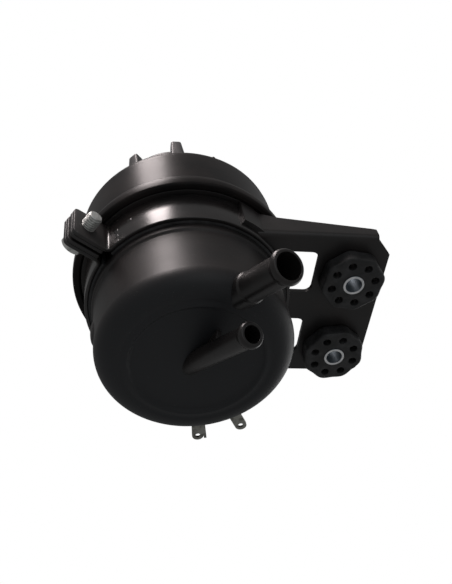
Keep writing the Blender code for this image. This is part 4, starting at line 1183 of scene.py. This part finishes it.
def makeFloor():
    shape = bmesh.new()
    bmesh.ops.create_grid(shape, x_segments=1, y_segments=1, size=6.0)
    bmesh.ops.translate(shape, verts=shape.verts, vec=(0, 0, floorLevel))
    mesh = bpy.data.meshes.new("floor")
    shape.to_mesh(mesh)
    shape.free()
    floor = inScene("floor", mesh)
    made, maker, shader, centred = newMaterial("floor_paint")
    cloud = maker.noise(centred, 3.0, 4.0)
    pale = maker.blend(cloud, paint(0.78, 0.78, 0.78), paint(0.84, 0.84, 0.84))
    connect(maker, shader, {"Base Color": pale, "Roughness": 0.8 + cloud * 0.1,
                            "Emission Color": paint(1.0, 1.0, 1.0), "Emission Strength": 0.65})
    mesh.materials.append(made)
    floor.visible_diffuse = False  # its glow is seen, and lights nothing
    floor.visible_glossy = False
    floor.visible_shadow = False


softboxes = {
    "key": {"from": (-0.30, -0.47, 0.82), "distance": 0.9, "size": (0.20, 0.9), "power": 6.5,
            "colour": (1.0, 0.90, 0.89), "along": view["up"].cross(view["right"])},
    "fill": {"from": (0.10, -0.95, -0.30), "distance": 1.2, "size": (0.9, 0.9), "power": 1.3,
             "colour": (0.93, 0.96, 1.0), "along": (0, 0, 1)},
    "back": {"from": (0.80, 0.55, 0.25), "distance": 1.1, "size": (0.8, 0.8), "power": 2.2,
             "colour": (1.0, 1.0, 1.0), "along": (0, 0, 1)},
}


def makeSoftbox(name, look):  # its long side lies along the given direction
    lamp = bpy.data.lights.new(name, "AREA")
    lamp.shape = "RECTANGLE"
    lamp.size, lamp.size_y = look["size"]
    lamp.energy = look["power"]
    lamp.color = look["colour"]
    made = inScene(name, lamp)
    back = Vector(look["from"]).normalized()
    along = Vector(look["along"])
    tall = (along - back * back.dot(along)).normalized()
    side = tall.cross(back)
    turn = Matrix((side, tall, back)).transposed().to_4x4()
    made.matrix_world = Matrix.Translation(view["aim"] + back * look["distance"]) @ turn


ambient = 0.22  # what the backdrop gives the object, beside the full white that is seen


def makeWorld():
    world = bpy.data.worlds.new("studio")
    bpy.context.scene.world = world
    world.use_nodes = True
    maker = Maker(world.node_tree)
    background = world.node_tree.nodes["Background"]
    seen = maker.node("ShaderNodeLightPath")
    strength = ambient + seen * (1 - ambient)
    world.node_tree.links.new(strength.socket, background.inputs["Strength"])
    background.inputs["Color"].default_value = paint(1.0, 1.0, 1.0)


def makeCamera():
    lens = bpy.data.cameras.new("view")
    lens.lens = view["lens"]
    lens.sensor_width = view["sensor"]
    lens.clip_start = 0.01
    made = inScene("view", lens)
    back = view["right"].cross(view["up"])
    turn = Matrix((view["right"], view["up"], back)).transposed().to_4x4()
    made.matrix_world = Matrix.Translation(view["place"]) @ turn
    bpy.context.scene.camera = made


makeFloor()
for name, look in softboxes.items():
    makeSoftbox(name, look)
makeWorld()
makeCamera()
bpy.context.scene.view_settings.view_transform = "Standard"
